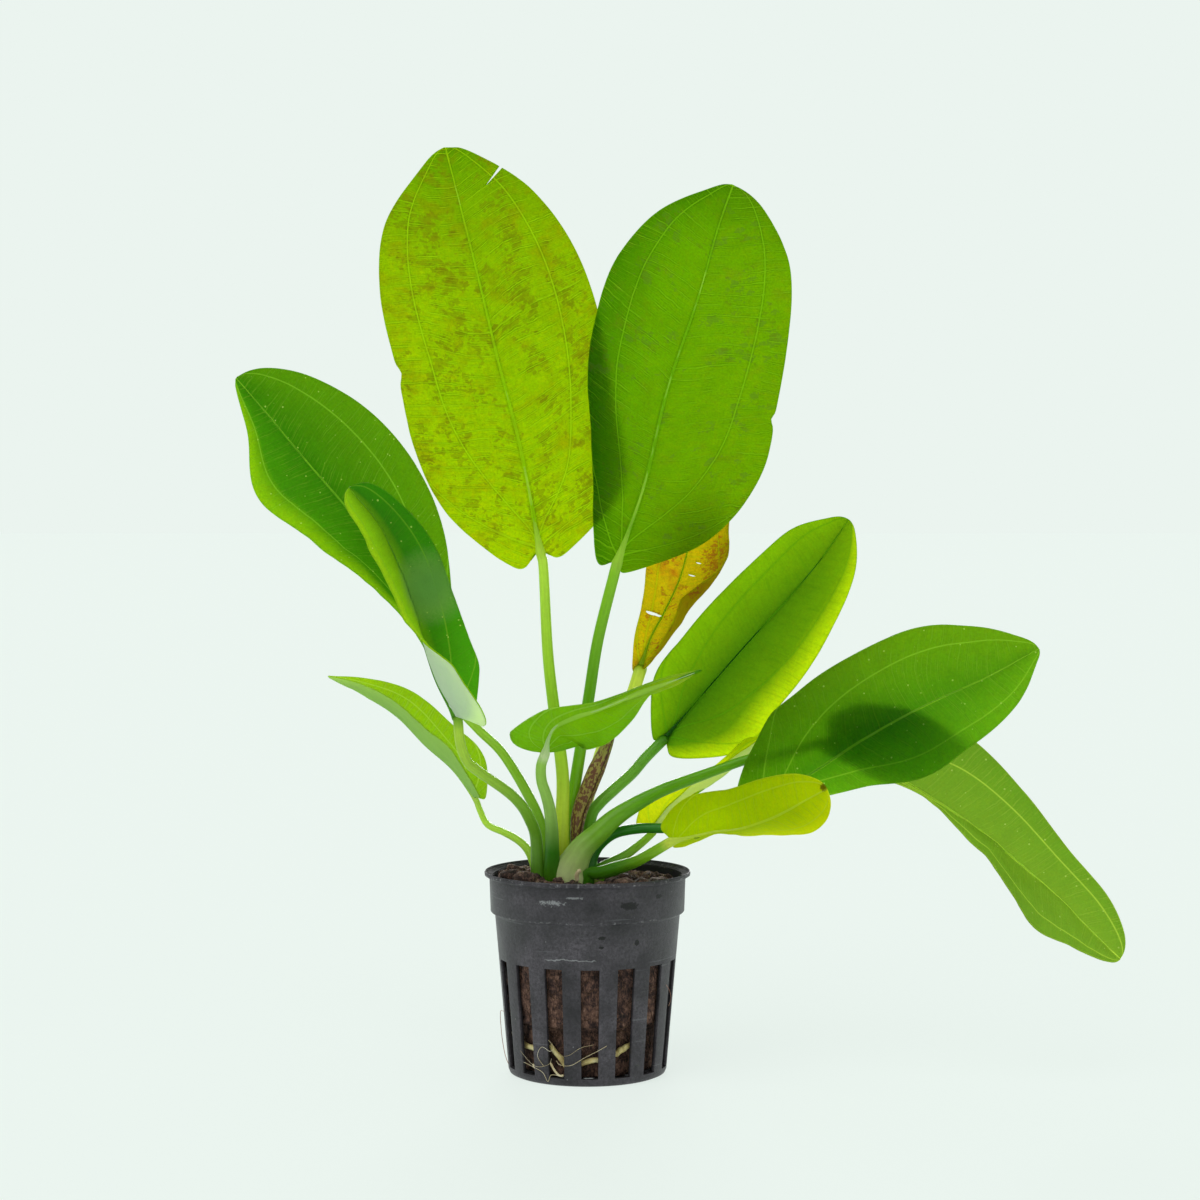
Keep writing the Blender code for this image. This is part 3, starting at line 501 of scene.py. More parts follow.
def leaf_surface(name, look, seen, find):
    """Living leaf: a thin waxy skin over soft green tissue that lets light through, so it shines
    softly, glows against the light and darkens where another leaf lies behind it."""
    surface, shader, add = new_surface(name)
    settings = bpy.context.scene.plant_leaves
    under = look["under_seen"] == seen
    pale = look["vein"] if seen else look["other"][0]
    seed = sum(map(ord, name)) % 97
    spot = add("VectorMath SCALE", add("UVMap", uv_map="leaf"), 100.0)
    at = add("SeparateXYZ", spot)
    outline = add("SeparateXYZ", add("UVMap", uv_map="outline"))
    place = {"lateral": add("Math ABSOLUTE", at.outputs["X"]), "along": at.outputs["Y"],
             "across": outline.outputs["X"], "share_along": outline.outputs["Y"]}
    place["share_across"] = add("Math MAXIMUM", add("Math ABSOLUTE", place["across"]), 0.01)
    moved = add("VectorMath ADD", spot, (seed * 3.7, seed * 9.1, seed * 1.3))
    light, dark, slant = leaf_veins(add, look, seen, place, moved)
    large, fine = add("TexNoise", moved, 0.11, 4.0, 0.6), add("TexNoise", moved, 1.9, 3.0, 0.7)
    cells = add("CombineXYZ", add("Math MULTIPLY", at.outputs["X"], 0.62), slant, float(seed))
    ground = leaf_ground(add, look, seen, place, moved, cells, large, fine)
    # Vein flanks darkened as painted shade, then the pale vein cores on top
    vein_shaded = add("Mix RGBA", 1.0, ground, (0.35, 0.52, 0.4, 1.0), blend_type="MULTIPLY")
    ground = add("Mix RGBA", dark, ground, vein_shaded)
    ground = add("Mix RGBA", add("Math MULTIPLY", light, 0.8), ground, pale)
    to_edge = add("Math DIVIDE", place["lateral"], place["share_across"])
    to_edge = add("Math SUBTRACT", to_edge, place["lateral"])
    margin = add("MapRange SMOOTHSTEP", to_edge, 0.05, 0.35, 0.3, 0.0)
    ground = add("Mix RGBA", margin, ground, pale)
    if look["specks"]:
        # Dried drops and grit of the water, 0.3 mm across
        grit = add("TexVoronoi", moved, 0.3, voronoi_dimensions="2D")
        size = add("Math MULTIPLY_ADD", add("SeparateXYZ", grit.outputs["Color"]), 0.14, -0.07)
        dot = add("Math LESS_THAN", grit, size)
        ground = add("Mix RGBA", add("Math MULTIPLY", dot, look["specks"]), ground, "#D4E8A0")
    # Spots of the leaf's own colour; the pale patch on the folded left leaf is a painted sheen
    for (turn, side), radius, soft, colour in look["spots_and_sheens"]:
        gap = add("VectorMath DISTANCE", spot, (*find(turn, side), 0.0))
        ragged = add("Math MULTIPLY_ADD", fine, radius, gap)
        mark = add("MapRange SMOOTHSTEP", ragged, radius * 0.9, radius * soft, 0.85, 0.0)
        ground = add("Mix RGBA", mark, ground, colour)

    # Relief: veins stand out below and are sunk above, and the skin is finely puckered
    pucker = add("TexNoise", moved, 2.2, 3.0)
    height = add("Math MULTIPLY_ADD", light, 1.0 if under else -1.0, pucker)
    bump = add("Bump", 0.6, 0.12 * MM, named={"Height": height})
    shine = look.get("gloss", settings.roughness) + (0.1 if under else 0.0)
    feed(shader, {"Base Color": ground, "Normal": bump, "IOR": 1.45,
                  "Roughness": add("Math MULTIPLY_ADD", large, 0.2, shine),
                  "Specular IOR Level": look["shine"]})
    # Light crosses two skins, so each lets through about the root of the leaf's colour
    glow = add("VectorMath MULTIPLY", add("Gamma", ground, 0.5), (1.15, 1.15, 0.4 if seen else 1.0))
    share = settings.light_through if seen or len(look["other"]) < 3 else look["other"][2]
    let_light_through(add, shader, share, glow, bump)
    return surface


def stem_surface(name, stops, length, rib=1.0, blotch=None):
    """Leaf stalk: smooth waxy green skin over watery tissue, with fine ridges that run along it. Past
    rib, the share of its length where it becomes the blade's midrib, it is paler and lets more light
    through."""
    surface, shader, add = new_surface(name)
    place = add("SeparateXYZ", add("UVMap", uv_map="stem"))
    turn, along = place.outputs["X"], place.outputs["Y"]
    ridges = add("CombineXYZ", add("Math MULTIPLY", turn, 9.0),
                 add("Math MULTIPLY", along, length / MM * 0.06), float(sum(map(ord, name)) % 31))
    streak = add("TexNoise", ridges, 1.6, 3.0)
    grain = add("TexNoise", add("TexCoord").outputs["Object"], 900.0, 2.0)
    value = add("Math MULTIPLY_ADD", streak, 0.5, add("Math MULTIPLY_ADD", grain, 0.2, 0.65))
    ground = add("ValToRGB", along, stops=stops)
    ground = add("HueSaturation", named={"Color": ground, "Value": value})
    if blotch:
        colour, cover, size = blotch
        cells = add("CombineXYZ", add("Math MULTIPLY", turn, 11.0),
                    add("Math MULTIPLY", along, length / MM * 0.6))
        patch = add("TexVoronoi", cells, 1 / size)
        chance = add("Math MULTIPLY_ADD", streak, 0.9, add("SeparateXYZ", patch.outputs["Color"]))
        flecks = add("MapRange SMOOTHSTEP", chance, cover + 0.4, cover + 0.5, 0.85, 0.0)
        ground = add("Mix RGBA", flecks, ground, colour)
        # The rolled leaf's free edges lie along it as dark seams
        seam = add("Math PINGPONG", add("Math ADD", turn, 0.07), 0.21)
        seam = add("MapRange SMOOTHSTEP", seam, 0.008, 0.02, 0.8, 0.0)
        ground = add("Mix RGBA", seam, ground, "#241008")
    bump = add("Bump", 0.4, 0.15 * MM, named={"Height": streak})
    feed(shader, {"Base Color": ground, "Normal": bump, "Roughness": 0.3, "IOR": 1.45,
                  "Specular IOR Level": 0.4})
    share = add("MapRange SMOOTHSTEP", along, rib, rib + 0.05, 0.32, 0.75)
    let_light_through(add, shader, share, add("Gamma", ground, 0.5), bump)
    return surface


# Marks on the pot's wall: place and half-size in mm, colour, raggedness of the edge, strength. Wet
# stains of the medium come first, the largest under the lip at the right, then scuffs at the left
STAINS = [((10.2, -22.0, 44.2), (2.6, 4.0, 1.15)), ((17.3, -16.8, 45.9), (1.0, 3.0, 0.6)),
          ((3.6, -22.7, 36.6), (1.2, 3.0, 0.5)), ((3.4, -22.7, 34.2), (0.8, 3.0, 0.45)),
          ((12.0, -19.5, 35.0), (0.7, 3.0, 0.9))]
SCUFFS = [((-8.4, -22.6, 45.0), (2.6, 4.0, 0.55), "#9A9C9E"),
          ((-3.0, -24.0, 46.4), (1.6, 4.0, 0.25), "#8C8E90")]
POT_MARKS = ([(*stain, "#020202", 1.6, 0.95) for stain in STAINS]
             + [(*scuff, 8.0, 0.7) for scuff in SCUFFS])


def pot_surface():
    """Injection-moulded black polypropylene, dusty from the nursery: grey rather than black, with a
    low sheen, pale dust on its edges, fine scuffs and dark stains of the medium. The pale band on the
    step is also a painted highlight, and the inside of the wall is darkened as painted shade."""
    surface, shader, add = new_surface("moulded_polypropylene")
    settings = bpy.context.scene.plant_pot
    coordinates = add("TexCoord")
    where, normal = coordinates.outputs["Object"], coordinates.outputs["Normal"]
    mm = add("VectorMath SCALE", where, 1000.0)
    part = add("SeparateXYZ", mm)
    height = part.outputs["Z"]
    cloud = add("TexNoise", mm, 0.12, 5.0)
    ground = add("ValToRGB", cloud, stops=[(0.3, "#28262A"), (0.5, "#39363B"), (0.7, "#4E4A50")])
    tone = add("Mix RGBA", 1.0, ground, (*settings.tone, 1.0), blend_type="MULTIPLY")
    pits = add("TexNoise", mm, 1.4, 6.0, 0.8)
    tone = add("HueSaturation", named={"Color": tone,
                                       "Value": add("Math MULTIPLY_ADD", pits, 3.2, -0.6)})

    # Dust lies on the lip, with a few specks all over. The pale band on the step is dust and a
    # painted highlight along the step's edge
    dust_and_highlight_bands = []
    for level, reach in ((POT_HEIGHT - 0.7 * MM, 0.9), (STEP_HEIGHT - 0.2 * MM, 0.5)):
        off = add("Math ABSOLUTE", add("Math SUBTRACT", height, level / MM))
        dust_and_highlight_bands.append(add("MapRange LINEAR", off, 0.0, reach, 0.7, 0.0))
    flakes = add("TexNoise", mm, 1.1, 6.0, 0.7)
    flake = add("MapRange LINEAR", flakes, 0.54, 0.66, 0.0, 1.0)
    dust = add("Math MULTIPLY", add("Math MAXIMUM", *dust_and_highlight_bands), flake)
    dot = add("Math LESS_THAN", add("TexVoronoi", mm, 0.28), 0.045)
    dust = add("Math MAXIMUM", dust, add("Math MULTIPLY", dot, 0.35))
    tone = add("Mix RGBA", add("Math MULTIPLY", dust, settings.dust), tone, "#A8A8AA")

    shown = []
    for place, size, colour, rag, strength in POT_MARKS:
        gap = add("VectorMath DIVIDE", add("VectorMath SUBTRACT", mm, place), size)
        ragged = add("Math MULTIPLY_ADD", pits, rag, add("VectorMath LENGTH", gap))
        edge = rag * 0.5 + 0.7
        mark = add("MapRange SMOOTHSTEP", ragged, edge, edge + 0.25, strength, 0.0)
        tone = add("Mix RGBA", mark, tone, colour)
        shown.append(mark)
    wet = reduce(partial(add, "Math MAXIMUM"), shown[:len(STAINS)])

    # A long level scratch above the slots, and thin ones all round, drawn 0.25 mm wide to show
    wander = add("Math MULTIPLY_ADD", add("TexNoise", mm, 0.45, 4.0), 2.2, 29.9)
    crack = add("Math ABSOLUTE", add("Math SUBTRACT", wander, height))
    side = add("Math ABSOLUTE", add("Math ADD", part.outputs["X"], 4.0))
    scratch = add("Math MULTIPLY", add("MapRange SMOOTHSTEP", side, 5.5, 6.5, 1.0, 0.0),
                  add("Math LESS_THAN", part.outputs["Y"], 0.0))
    scratch = add("Math MULTIPLY", scratch, add("MapRange SMOOTHSTEP", crack, 0.06, 0.16, 0.6, 0.0))
    tone = add("Mix RGBA", scratch, tone, "#A4A6A8")
    stretched = add("VectorMath MULTIPLY", mm, (0.05, 0.05, 1.6))
    scratches = add("MapRange LINEAR", add("TexNoise", stretched, 1.0, 3.0), 0.66, 0.72, 0.0, 0.3)
    tone = add("Mix RGBA", scratches, tone, "#7C7E82")

    # The inside of the wall is darkened as painted shade, and the slots' lower ledges are darkened
    # too; both are matt
    level = add("VectorMath MULTIPLY", normal, (1.0, 1.0, 0.0))
    inward = add("Math LESS_THAN", add("VectorMath DOT_PRODUCT", level, where), 0.0)
    upward = add("Math GREATER_THAN", add("SeparateXYZ", normal).outputs["Z"], 0.4)
    ledge = add("Math MULTIPLY", upward, add("Math LESS_THAN", height, 3.0))
    inside = add("Math MAXIMUM", inward, ledge)
    tone = add("Mix RGBA", add("Math MULTIPLY", inside, 0.7), tone, "#0C0A0A")
    relief = add("Math MULTIPLY_ADD", flakes, 0.7, add("Math MULTIPLY_ADD", pits, 0.8, cloud))
    rough = add("Math MULTIPLY_ADD", inside, 0.5, add("Math MULTIPLY_ADD", cloud, 0.5, 0.2))
    feed(shader, {"Base Color": tone, "Roughness": add("Math MULTIPLY_ADD", wet, -0.35, rough),
                  "Normal": add("Bump", 0.35, 0.2 * MM, named={"Height": relief}), "IOR": 1.49,
                  "Specular IOR Level": 0.35})
    return surface


def fibre_surface(name, stops, grain_mm):
    """Damp peat and coir: matt and dark, a mix of black crumbs, brown fibre and pale bits."""
    surface, shader, add = new_surface(name)
    mm = add("VectorMath SCALE", add("TexCoord").outputs["Object"], 1000.0)
    clumps = add("TexNoise", mm, 0.5 / grain_mm, 8.0, 0.75, named={"Distortion": 0.4})
    threads = add("VectorMath MULTIPLY", mm, (1.0, 1.0, 0.3))
    threads = add("TexNoise", threads, 2.4 / grain_mm, 3.0, named={"Distortion": 1.0})
    lumps = add("TexNoise", mm, 0.16 / grain_mm, 2.0)
    mixed = add("Math MULTIPLY_ADD", threads, 0.5, add("Math MULTIPLY_ADD", clumps, 0.9, -0.42))
    mixed = add("Math MULTIPLY_ADD", lumps, 0.38, mixed)
    feed(shader, {"Base Color": add("ValToRGB", mixed, stops=stops), "Roughness": 0.9, "IOR": 1.4,
                  "Normal": add("Bump", 0.9, 0.5 * MM, named={"Height": clumps})})
    return surface


def root_surface(name, stops):
    """Young water root: cream and slightly glassy, browner where it is older."""
    surface, shader, add = new_surface(name)
    mm = add("VectorMath SCALE", add("TexCoord").outputs["Object"], 1000.0)
    cloud = add("TexNoise", mm, 0.3, 3.0)
    feed(shader, {"Base Color": add("ValToRGB", cloud, stops=stops), "Roughness": 0.4,
                  "Normal": add("Bump", 0.3, 0.1 * MM, named={"Height": cloud})})
    return surface


def smooth_points(points, steps=24):
    """Points of a smooth curve through the given millimetre points, in metres."""
    route = np.array(points, float) * MM
    route = np.vstack([2 * route[0] - route[1], route, 2 * route[-1] - route[-2]])
    t = np.arange(steps)[:, None] / steps
    pieces = [0.5 * (2 * b + (c - a) * t + (2 * a - 5 * b + 4 * c - d) * t ** 2
                     + (3 * b - a - 3 * c + d) * t ** 3)
              for a, b, c, d in zip(route, route[1:], route[2:], route[3:])]
    return np.vstack([*pieces, route[-2]])


class Route:
    """A smooth curve that can be read at many distances at once, also before its start."""

    def __init__(self, points):
        self.points = smooth_points(points)
        steps = np.linalg.norm(np.diff(self.points, axis=0), axis=1)
        self.reach = np.concatenate([[0.0], np.cumsum(steps)])
        self.length = self.reach[-1]
        slopes = np.gradient(self.points, self.reach, axis=0)
        self.slopes = slopes / np.linalg.norm(slopes, axis=1)[:, None]

    def read(self, distances):
        inside = np.clip(distances, 0.0, self.length)
        point = np.stack([np.interp(inside, self.reach, self.points[:, i]) for i in range(3)], -1)
        slope = np.stack([np.interp(inside, self.reach, self.slopes[:, i]) for i in range(3)], -1)
        slope /= np.linalg.norm(slope, axis=-1, keepdims=True)
        return point + slope * (distances - inside)[..., None], slope


def half_width(widths, angle):
    """Outline half-widths at angles that run from 0 at the base to pi at the tip."""
    knots = np.array([-widths[0], 0.0, *widths, 0.0, -widths[-1]]) * MM
    place = angle / math.pi * 8 + 1
    i = np.clip(place.astype(int), 1, 8)
    t = place - i
    a, b, c, d = (knots[i + k] for k in (-1, 0, 1, 2))
    return 0.5 * (2 * b + (c - a) * t + (2 * a - 5 * b + 4 * c - d) * t ** 2
                  + (3 * b - a - 3 * c + d) * t ** 3)


def along_leaf(values, t):
    """Reads values that are spread evenly from base to tip."""
    return np.interp(t, np.linspace(0, 1, len(values)), values)


def perpendicular(forward):
    """The direction out of the leaf's face, square to its midrib."""
    out = FACING - forward * (forward @ FACING)[..., None]
    return out / np.linalg.norm(out, axis=-1, keepdims=True)


def blade_sheet(leaf, midrib, angle, across):
    """Points of the sheet, and their distances across and along the leaf."""
    left = across < 0
    share = np.abs(across)
    t = (1 - np.cos(angle)) / 2
    lobe = np.where(left, *leaf["lobes"]) * MM + midrib.length * LOBE_PLACE
    lobe = lobe * t / LOBE_PLACE * np.exp(1 - t / LOBE_PLACE)
    distance = midrib.length * t - share ** LOBE_ROUNDING * lobe
    centre, forward = midrib.read(distance)
    out = perpendicular(forward)
    sideways = np.cross(forward, out) * np.where(left, -1, 1)[..., None]
    width = np.where(left, half_width(leaf["left"], angle), half_width(leaf["right"], angle))
    for side, place, depth, reach in leaf["nicks"]:
        near = np.exp(-((angle / math.pi - place) * midrib.length / MM / reach * 1.4) ** 2)
        rim = np.clip((share - 0.86) / 0.14, 0, 1)
        width = width - np.where(np.sign(across) == side, near * rim * depth * MM, 0)
    fold = np.radians(np.where(left, along_leaf(leaf["left_fold"], t),
                               along_leaf(leaf["right_fold"], t)))
    curls = [along_leaf(leaf.get(side + "_curl", (LEAST_CURL,)), t) for side in ("left", "right")]
    curl = np.radians(np.where(left, *curls))
    flat = width / curl * (np.sin(fold + curl * share) - np.sin(fold))
    rise = width / curl * (np.cos(fold) - np.cos(fold + curl * share))
    height, count = leaf["wave"]
    ripple = height * MM * share ** 2 * np.sin(2 * math.pi * count * t + 2 * across)
    ripple = ripple * np.sin(angle)
    turned = fold + curl * share
    points = (centre + sideways * (flat - ripple * np.sin(turned))[..., None]
              + out * (rise + ripple * np.cos(turned))[..., None])
    return points, across * width, distance


def sheet_normals(leaf, midrib, angle, across, step=0.004):
    """Directions out of the sheet's front, taken a little inside its two ends."""
    angle = np.clip(angle, 0.03, math.pi - 0.04)
    across = np.clip(across, -1, 1 - step)
    here = blade_sheet(leaf, midrib, angle, across)[0]
    beside = blade_sheet(leaf, midrib, angle, across + step)[0]
    above = blade_sheet(leaf, midrib, angle + step, across)[0]
    normal = np.cross(beside - here, above - here)
    return normal / np.linalg.norm(normal, axis=-1, keepdims=True)


def new_piece(name, bm, surfaces, sharp=None):
    """Turns a bmesh into a smoothly shaded piece, with edges sharper than an angle left sharp."""
    mesh = bpy.data.meshes.new(name)
    bm.to_mesh(mesh)
    bm.free()
    mesh.shade_smooth()
    if sharp is not None:
        mesh.set_sharp_from_angle(angle=math.radians(sharp))
    for surface in surfaces:
        mesh.materials.append(surface)
    piece = bpy.data.objects.new(name, mesh)
    bpy.context.scene.collection.objects.link(piece)
    return piece


def hand_over(piece, slot, *nodes):
    """Ties a finished piece to the plant's body and hides the solids that it stands for. slot is not
    used.
    """
    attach(piece, "root")
    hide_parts(*nodes)


def settle(piece):
    """Makes the shape that the modifiers give the piece's own mesh."""
    graph = bpy.context.evaluated_depsgraph_get()
    finished = bpy.data.meshes.new_from_object(piece.evaluated_get(graph))
    piece.modifiers.clear()
    piece.data = finished


def cut_away(piece, bm):
    """Cuts the closed shape in bm out of the piece."""
    mesh = bpy.data.meshes.new("cutter")
    bm.to_mesh(mesh)
    bm.free()
    cutter = bpy.data.objects.new("cutter", mesh)
    bpy.context.scene.collection.objects.link(cutter)
    cut = piece.modifiers.new("Tear", "BOOLEAN")
    cut.operation = "DIFFERENCE"
    cut.object = cutter
    settle(piece)
    bpy.data.objects.remove(cutter)


def tear(piece, leaf, midrib, look):
    """Cuts the slit and the holes that the leaf has into its sheet."""
    if look["slit"]:
        ends, normal = [], None
        for turn, side in look["slit"]:
            angle, across = np.array([turn * math.pi]), np.array([side])
            ends.append(Vector(blade_sheet(leaf, midrib, angle, across)[0][0]))
            normal = Vector(sheet_normals(leaf, midrib, angle, across)[0])
        run = ends[1] - ends[0]
        bm = bmesh.new()
        bmesh.ops.create_cone(bm, cap_ends=True, segments=4, radius1=0.42 * MM, radius2=0.03 * MM,
                              depth=run.length * 1.1)
        bmesh.ops.scale(bm, vec=(1.0, 12.0, 1.0), verts=bm.verts)
        turn_to(bm, run, normal, ends[0] + run * 0.48)
        cut_away(piece, bm)
    for (turn, side), length, width in look["holes"]:
        angle, across = np.array([turn * math.pi]), np.array([side])
        middle = Vector(blade_sheet(leaf, midrib, angle, across)[0][0])
        normal = Vector(sheet_normals(leaf, midrib, angle, across)[0])
        bm = bmesh.new()
        bmesh.ops.create_icosphere(bm, subdivisions=2, radius=1.0)
        for vert in bm.verts:
            vert.co *= 1 + 0.35 * noise.noise(vert.co * 1.7)
        bmesh.ops.scale(bm, vec=(width * MM, 2 * MM, length * MM), verts=bm.verts)
        turn_to(bm, Vector((1.0, 0.0, -0.35)), normal, middle)
        cut_away(piece, bm)


def turn_to(bm, upright, depth, place):
    """Turns a shape so that its Z runs along upright and its Y along depth, and moves it."""
    z = upright.normalized()
    x = depth.cross(z).normalized()
    y = z.cross(x)
    for vert in bm.verts:
        vert.co = place + x * vert.co.x + y * vert.co.y + z * vert.co.z


def make_blade(name, leaf, look):
    """A thin sheet with relief along its veins, its nicks, slit and holes, and two sides."""
    settings = bpy.context.scene.plant_leaves
    leaf = dict(leaf, nicks=look["nicks"])
    midrib = Route(leaf["midrib"])
    cell = settings.cell
    columns = 2 * round((max(leaf["left"]) + max(leaf["right"])) * MM / 2 / cell)
    rows = round(midrib.length / cell)
    bm = bmesh.new()
    bmesh.ops.create_grid(bm, x_segments=columns, y_segments=rows, size=1.0)
    across = np.array([vert.co.x for vert in bm.verts])
    angle = (np.array([vert.co.y for vert in bm.verts]) + 1) / 2 * math.pi
    points, lateral, along = blade_sheet(leaf, midrib, angle, across)
    normals = sheet_normals(leaf, midrib, angle, across)
    t = (1 - np.cos(angle)) / 2

    # Side veins and midrib lie in a groove above and on a ridge below, and the sheet swells softly
    width = np.abs(lateral) / np.maximum(np.abs(across), 0.01)
    reach, start, bend = SIDE_VEINS[0]
    from_vein = (np.abs(across) - reach * (1 - np.exp(-(t / start) ** bend))) * width
    ridge = np.exp(-(from_vein / (0.8 * MM)) ** 2)
    ridge += 1.6 * (1 - 0.7 * t) * np.exp(-(lateral / (0.9 * MM)) ** 2)
    ridge *= settings.vein_relief * (1.0 if look["under_seen"] else -1.0)
    swell = np.array([noise.fractal(Vector(point) / (11 * MM), 0.8, 2.0, 3) for point in points])
    lift = (ridge + swell * settings.swell) * np.minimum(1, 4 * np.sin(angle))
    points = points + normals * lift[:, None]

    leaf_map = bm.loops.layers.uv.new("leaf")
    outline_map = bm.loops.layers.uv.new("outline")
    for face in bm.faces:
        for loop in face.loops:
            i = loop.vert.index
            loop[leaf_map].uv = (lateral[i] * 10, along[i] * 10)
            loop[outline_map].uv = (across[i], t[i])
    for vert, point in zip(bm.verts, points):
        vert.co = point
    bmesh.ops.remove_doubles(bm, verts=bm.verts, dist=0.01 * MM)

    def find(turn, side):
        spot = blade_sheet(leaf, midrib, np.array([turn * math.pi]), np.array([side]))
        return float(spot[1][0]) / MM, float(spot[2][0]) / MM

    surfaces = [leaf_surface(f"{name}_leaf_front", look, True, find),
                leaf_surface(f"{name}_leaf_back", look, False, find)]
    piece = new_piece(f"blade_{name}", bm, surfaces)
    wall = piece.modifiers.new("Thickness", "SOLIDIFY")
    wall.thickness = settings.thickness
    wall.offset = 0.0
    wall.material_offset = 1
    settle(piece)
    low, high = CAD_BOX
    for vert in piece.data.vertices:
        vert.co = [min(max(value, least), most) for value, least, most in zip(vert.co, low, high)]
    tear(piece, leaf, midrib, look)
    hand_over(piece, look["slot"], f"leaf_{name}_blade")


def make_tube(name, centres, across, deep, sides, surfaces, sharp=None):
    """A closed tube: centres in metres, half-sizes across the view and in depth."""
    rows = len(centres) - 1
    centres = np.array(centres)
    forward = np.gradient(centres, axis=0)
    forward /= np.linalg.norm(forward, axis=1)[:, None]
    out = perpendicular(forward)
    sideways = np.cross(forward, out)
    bm = bmesh.new()
    bmesh.ops.create_grid(bm, x_segments=sides, y_segments=rows, size=1.0)
    stem_map = bm.loops.layers.uv.new("stem")
    steps = np.concatenate([[0.0], np.cumsum(np.linalg.norm(np.diff(centres, axis=0), axis=1))])
    placed = {}
    for vert in bm.verts:
        i = round((vert.co.y + 1) / 2 * rows)
        placed[vert.index] = ((vert.co.x + 1) / 2, steps[i] / steps[-1])
        turn = (vert.co.x + 1) * math.pi
        vert.co = (centres[i] - sideways[i] * across[i] * math.cos(turn)
                   + out[i] * deep[i] * math.sin(turn))
    for face in bm.faces:
        for loop in face.loops:
            loop[stem_map].uv = placed[loop.vert.index]
    bmesh.ops.remove_doubles(bm, verts=bm.verts, dist=0.001 * MM)
    ends = [edge for edge in bm.edges if edge.is_boundary]
    bmesh.ops.holes_fill(bm, edges=ends, sides=0)
    bmesh.ops.recalc_face_normals(bm, faces=bm.faces)
    return new_piece(name, bm, surfaces, sharp)


def make_stem(name, leaf, look):
    """The stalk grows out of the crown, runs under the blade and ends as its midrib."""
    midrib = Route(leaf["midrib"])
    start, start_forward = midrib.read(np.array([0.0]))
    end = tuple((start[0] - start_forward[0] * JOIN_GAP) / MM)
    first = leaf["stem"][0]
    foot = (first[0], first[1], first[2] + STEM_FOOT / MM)
    stem = Route([first, foot, *leaf["stem"][1:], end])
    sunk = (first[0] * 0.85 - 0.7, first[1] * 0.85, first[2] - SOIL_DEPTH / MM)
    lower = [np.array(sunk) * MM]
    distances = np.arange(0, stem.length, 1.1 * MM)
    points = [*lower, *stem.read(distances)[0]]
    radii = along_leaf(leaf["radii"], distances / stem.length) * MM
    flare = 1 + look["flare"] * np.exp(-distances / (6 * MM))
    across = list(np.array(radii) * flare)
    deep = list(np.array(radii) * (1 + (flare - 1) * 0.4))
    across.insert(0, across[0])
    deep.insert(0, deep[0])
    end_radius = radii[-1]

    # Under the blade the stalk narrows to the midrib, half sunk in the sheet
    t = np.linspace(0.0, 0.97, 70) ** 1.2
    centre, forward = midrib.read(t * midrib.length)
    under = perpendicular(forward) * (1 if look["under_seen"] else -1)
    ribs = (0.07 + 0.22 * (1 - t)) * MM + (end_radius - 0.29 * MM) * np.exp(-t / 0.05)
    centre = centre + under * (ribs * (0.62 if look["under_seen"] else 0.75))[:, None]
    points += list(centre)
    across += list(ribs)
    deep += list(ribs)
    length = stem.length + midrib.length
    share = stem.length / length
    stops = [(p * share, c) for p, c in look["stem"]]
    stops.append((share + 0.06 * (1 - share), look.get("rib", look["vein"])))
    surface = stem_surface(f"{name}_stalk", stops, length, rib=share)
    piece = make_tube(f"stem_{name}", points, across, deep, 20, [surface])
    hand_over(piece, "stem", f"leaf_{name}_stem")


def make_rolled():
    """The youngest leaf is rolled up like a scroll: a spindle with the free edge as a seam."""
    route = Route(ROLLED_ROUTE)
    distances = np.linspace(0, route.length, 60)
    points = route.read(distances)[0]
    radii = along_leaf(ROLLED_RADII, distances / route.length) * MM
    surface = stem_surface("rolled_leaf_skin", [(0, "#A0A444"), (0.3, "#B4A050"), (0.7, "#A89C50"),
                                                (1, "#7C9C30")], route.length,
                           blotch=("#6A3034", 0.56, 0.4))
    piece = make_tube("rolled_leaf", points, radii, radii * 0.85, 40, [surface])
    hand_over(piece, "leaf_maroon", "leaf_rolled")


def wall_radius(height):
    """Outer radius of the pot's tapered body."""
    share = (height - BASE_EDGE) / (STEP_HEIGHT - STEP_DROP - BASE_EDGE)
    return BASE_RADIUS + (BODY_RADIUS - BASE_RADIUS) * share


def spin_profile(profile, steps, first_turn):
    """Spins a chain of (radius, height) points once round the pot's axis."""
    bm = bmesh.new()
    across, deep = math.cos(first_turn), math.sin(first_turn)
    chain = [bm.verts.new((radius * across, radius * deep, z)) for radius, z in profile]
    edges = [bm.edges.new(pair) for pair in zip(chain, chain[1:])]
    bmesh.ops.spin(bm, geom=chain + edges, cent=(0, 0, 0), axis=(0, 0, 1), angle=2 * math.pi,
                   steps=steps, use_merge=True)
    bmesh.ops.remove_doubles(bm, verts=bm.verts, dist=0.005 * MM)
    bmesh.ops.recalc_face_normals(bm, faces=bm.faces)
    return bm


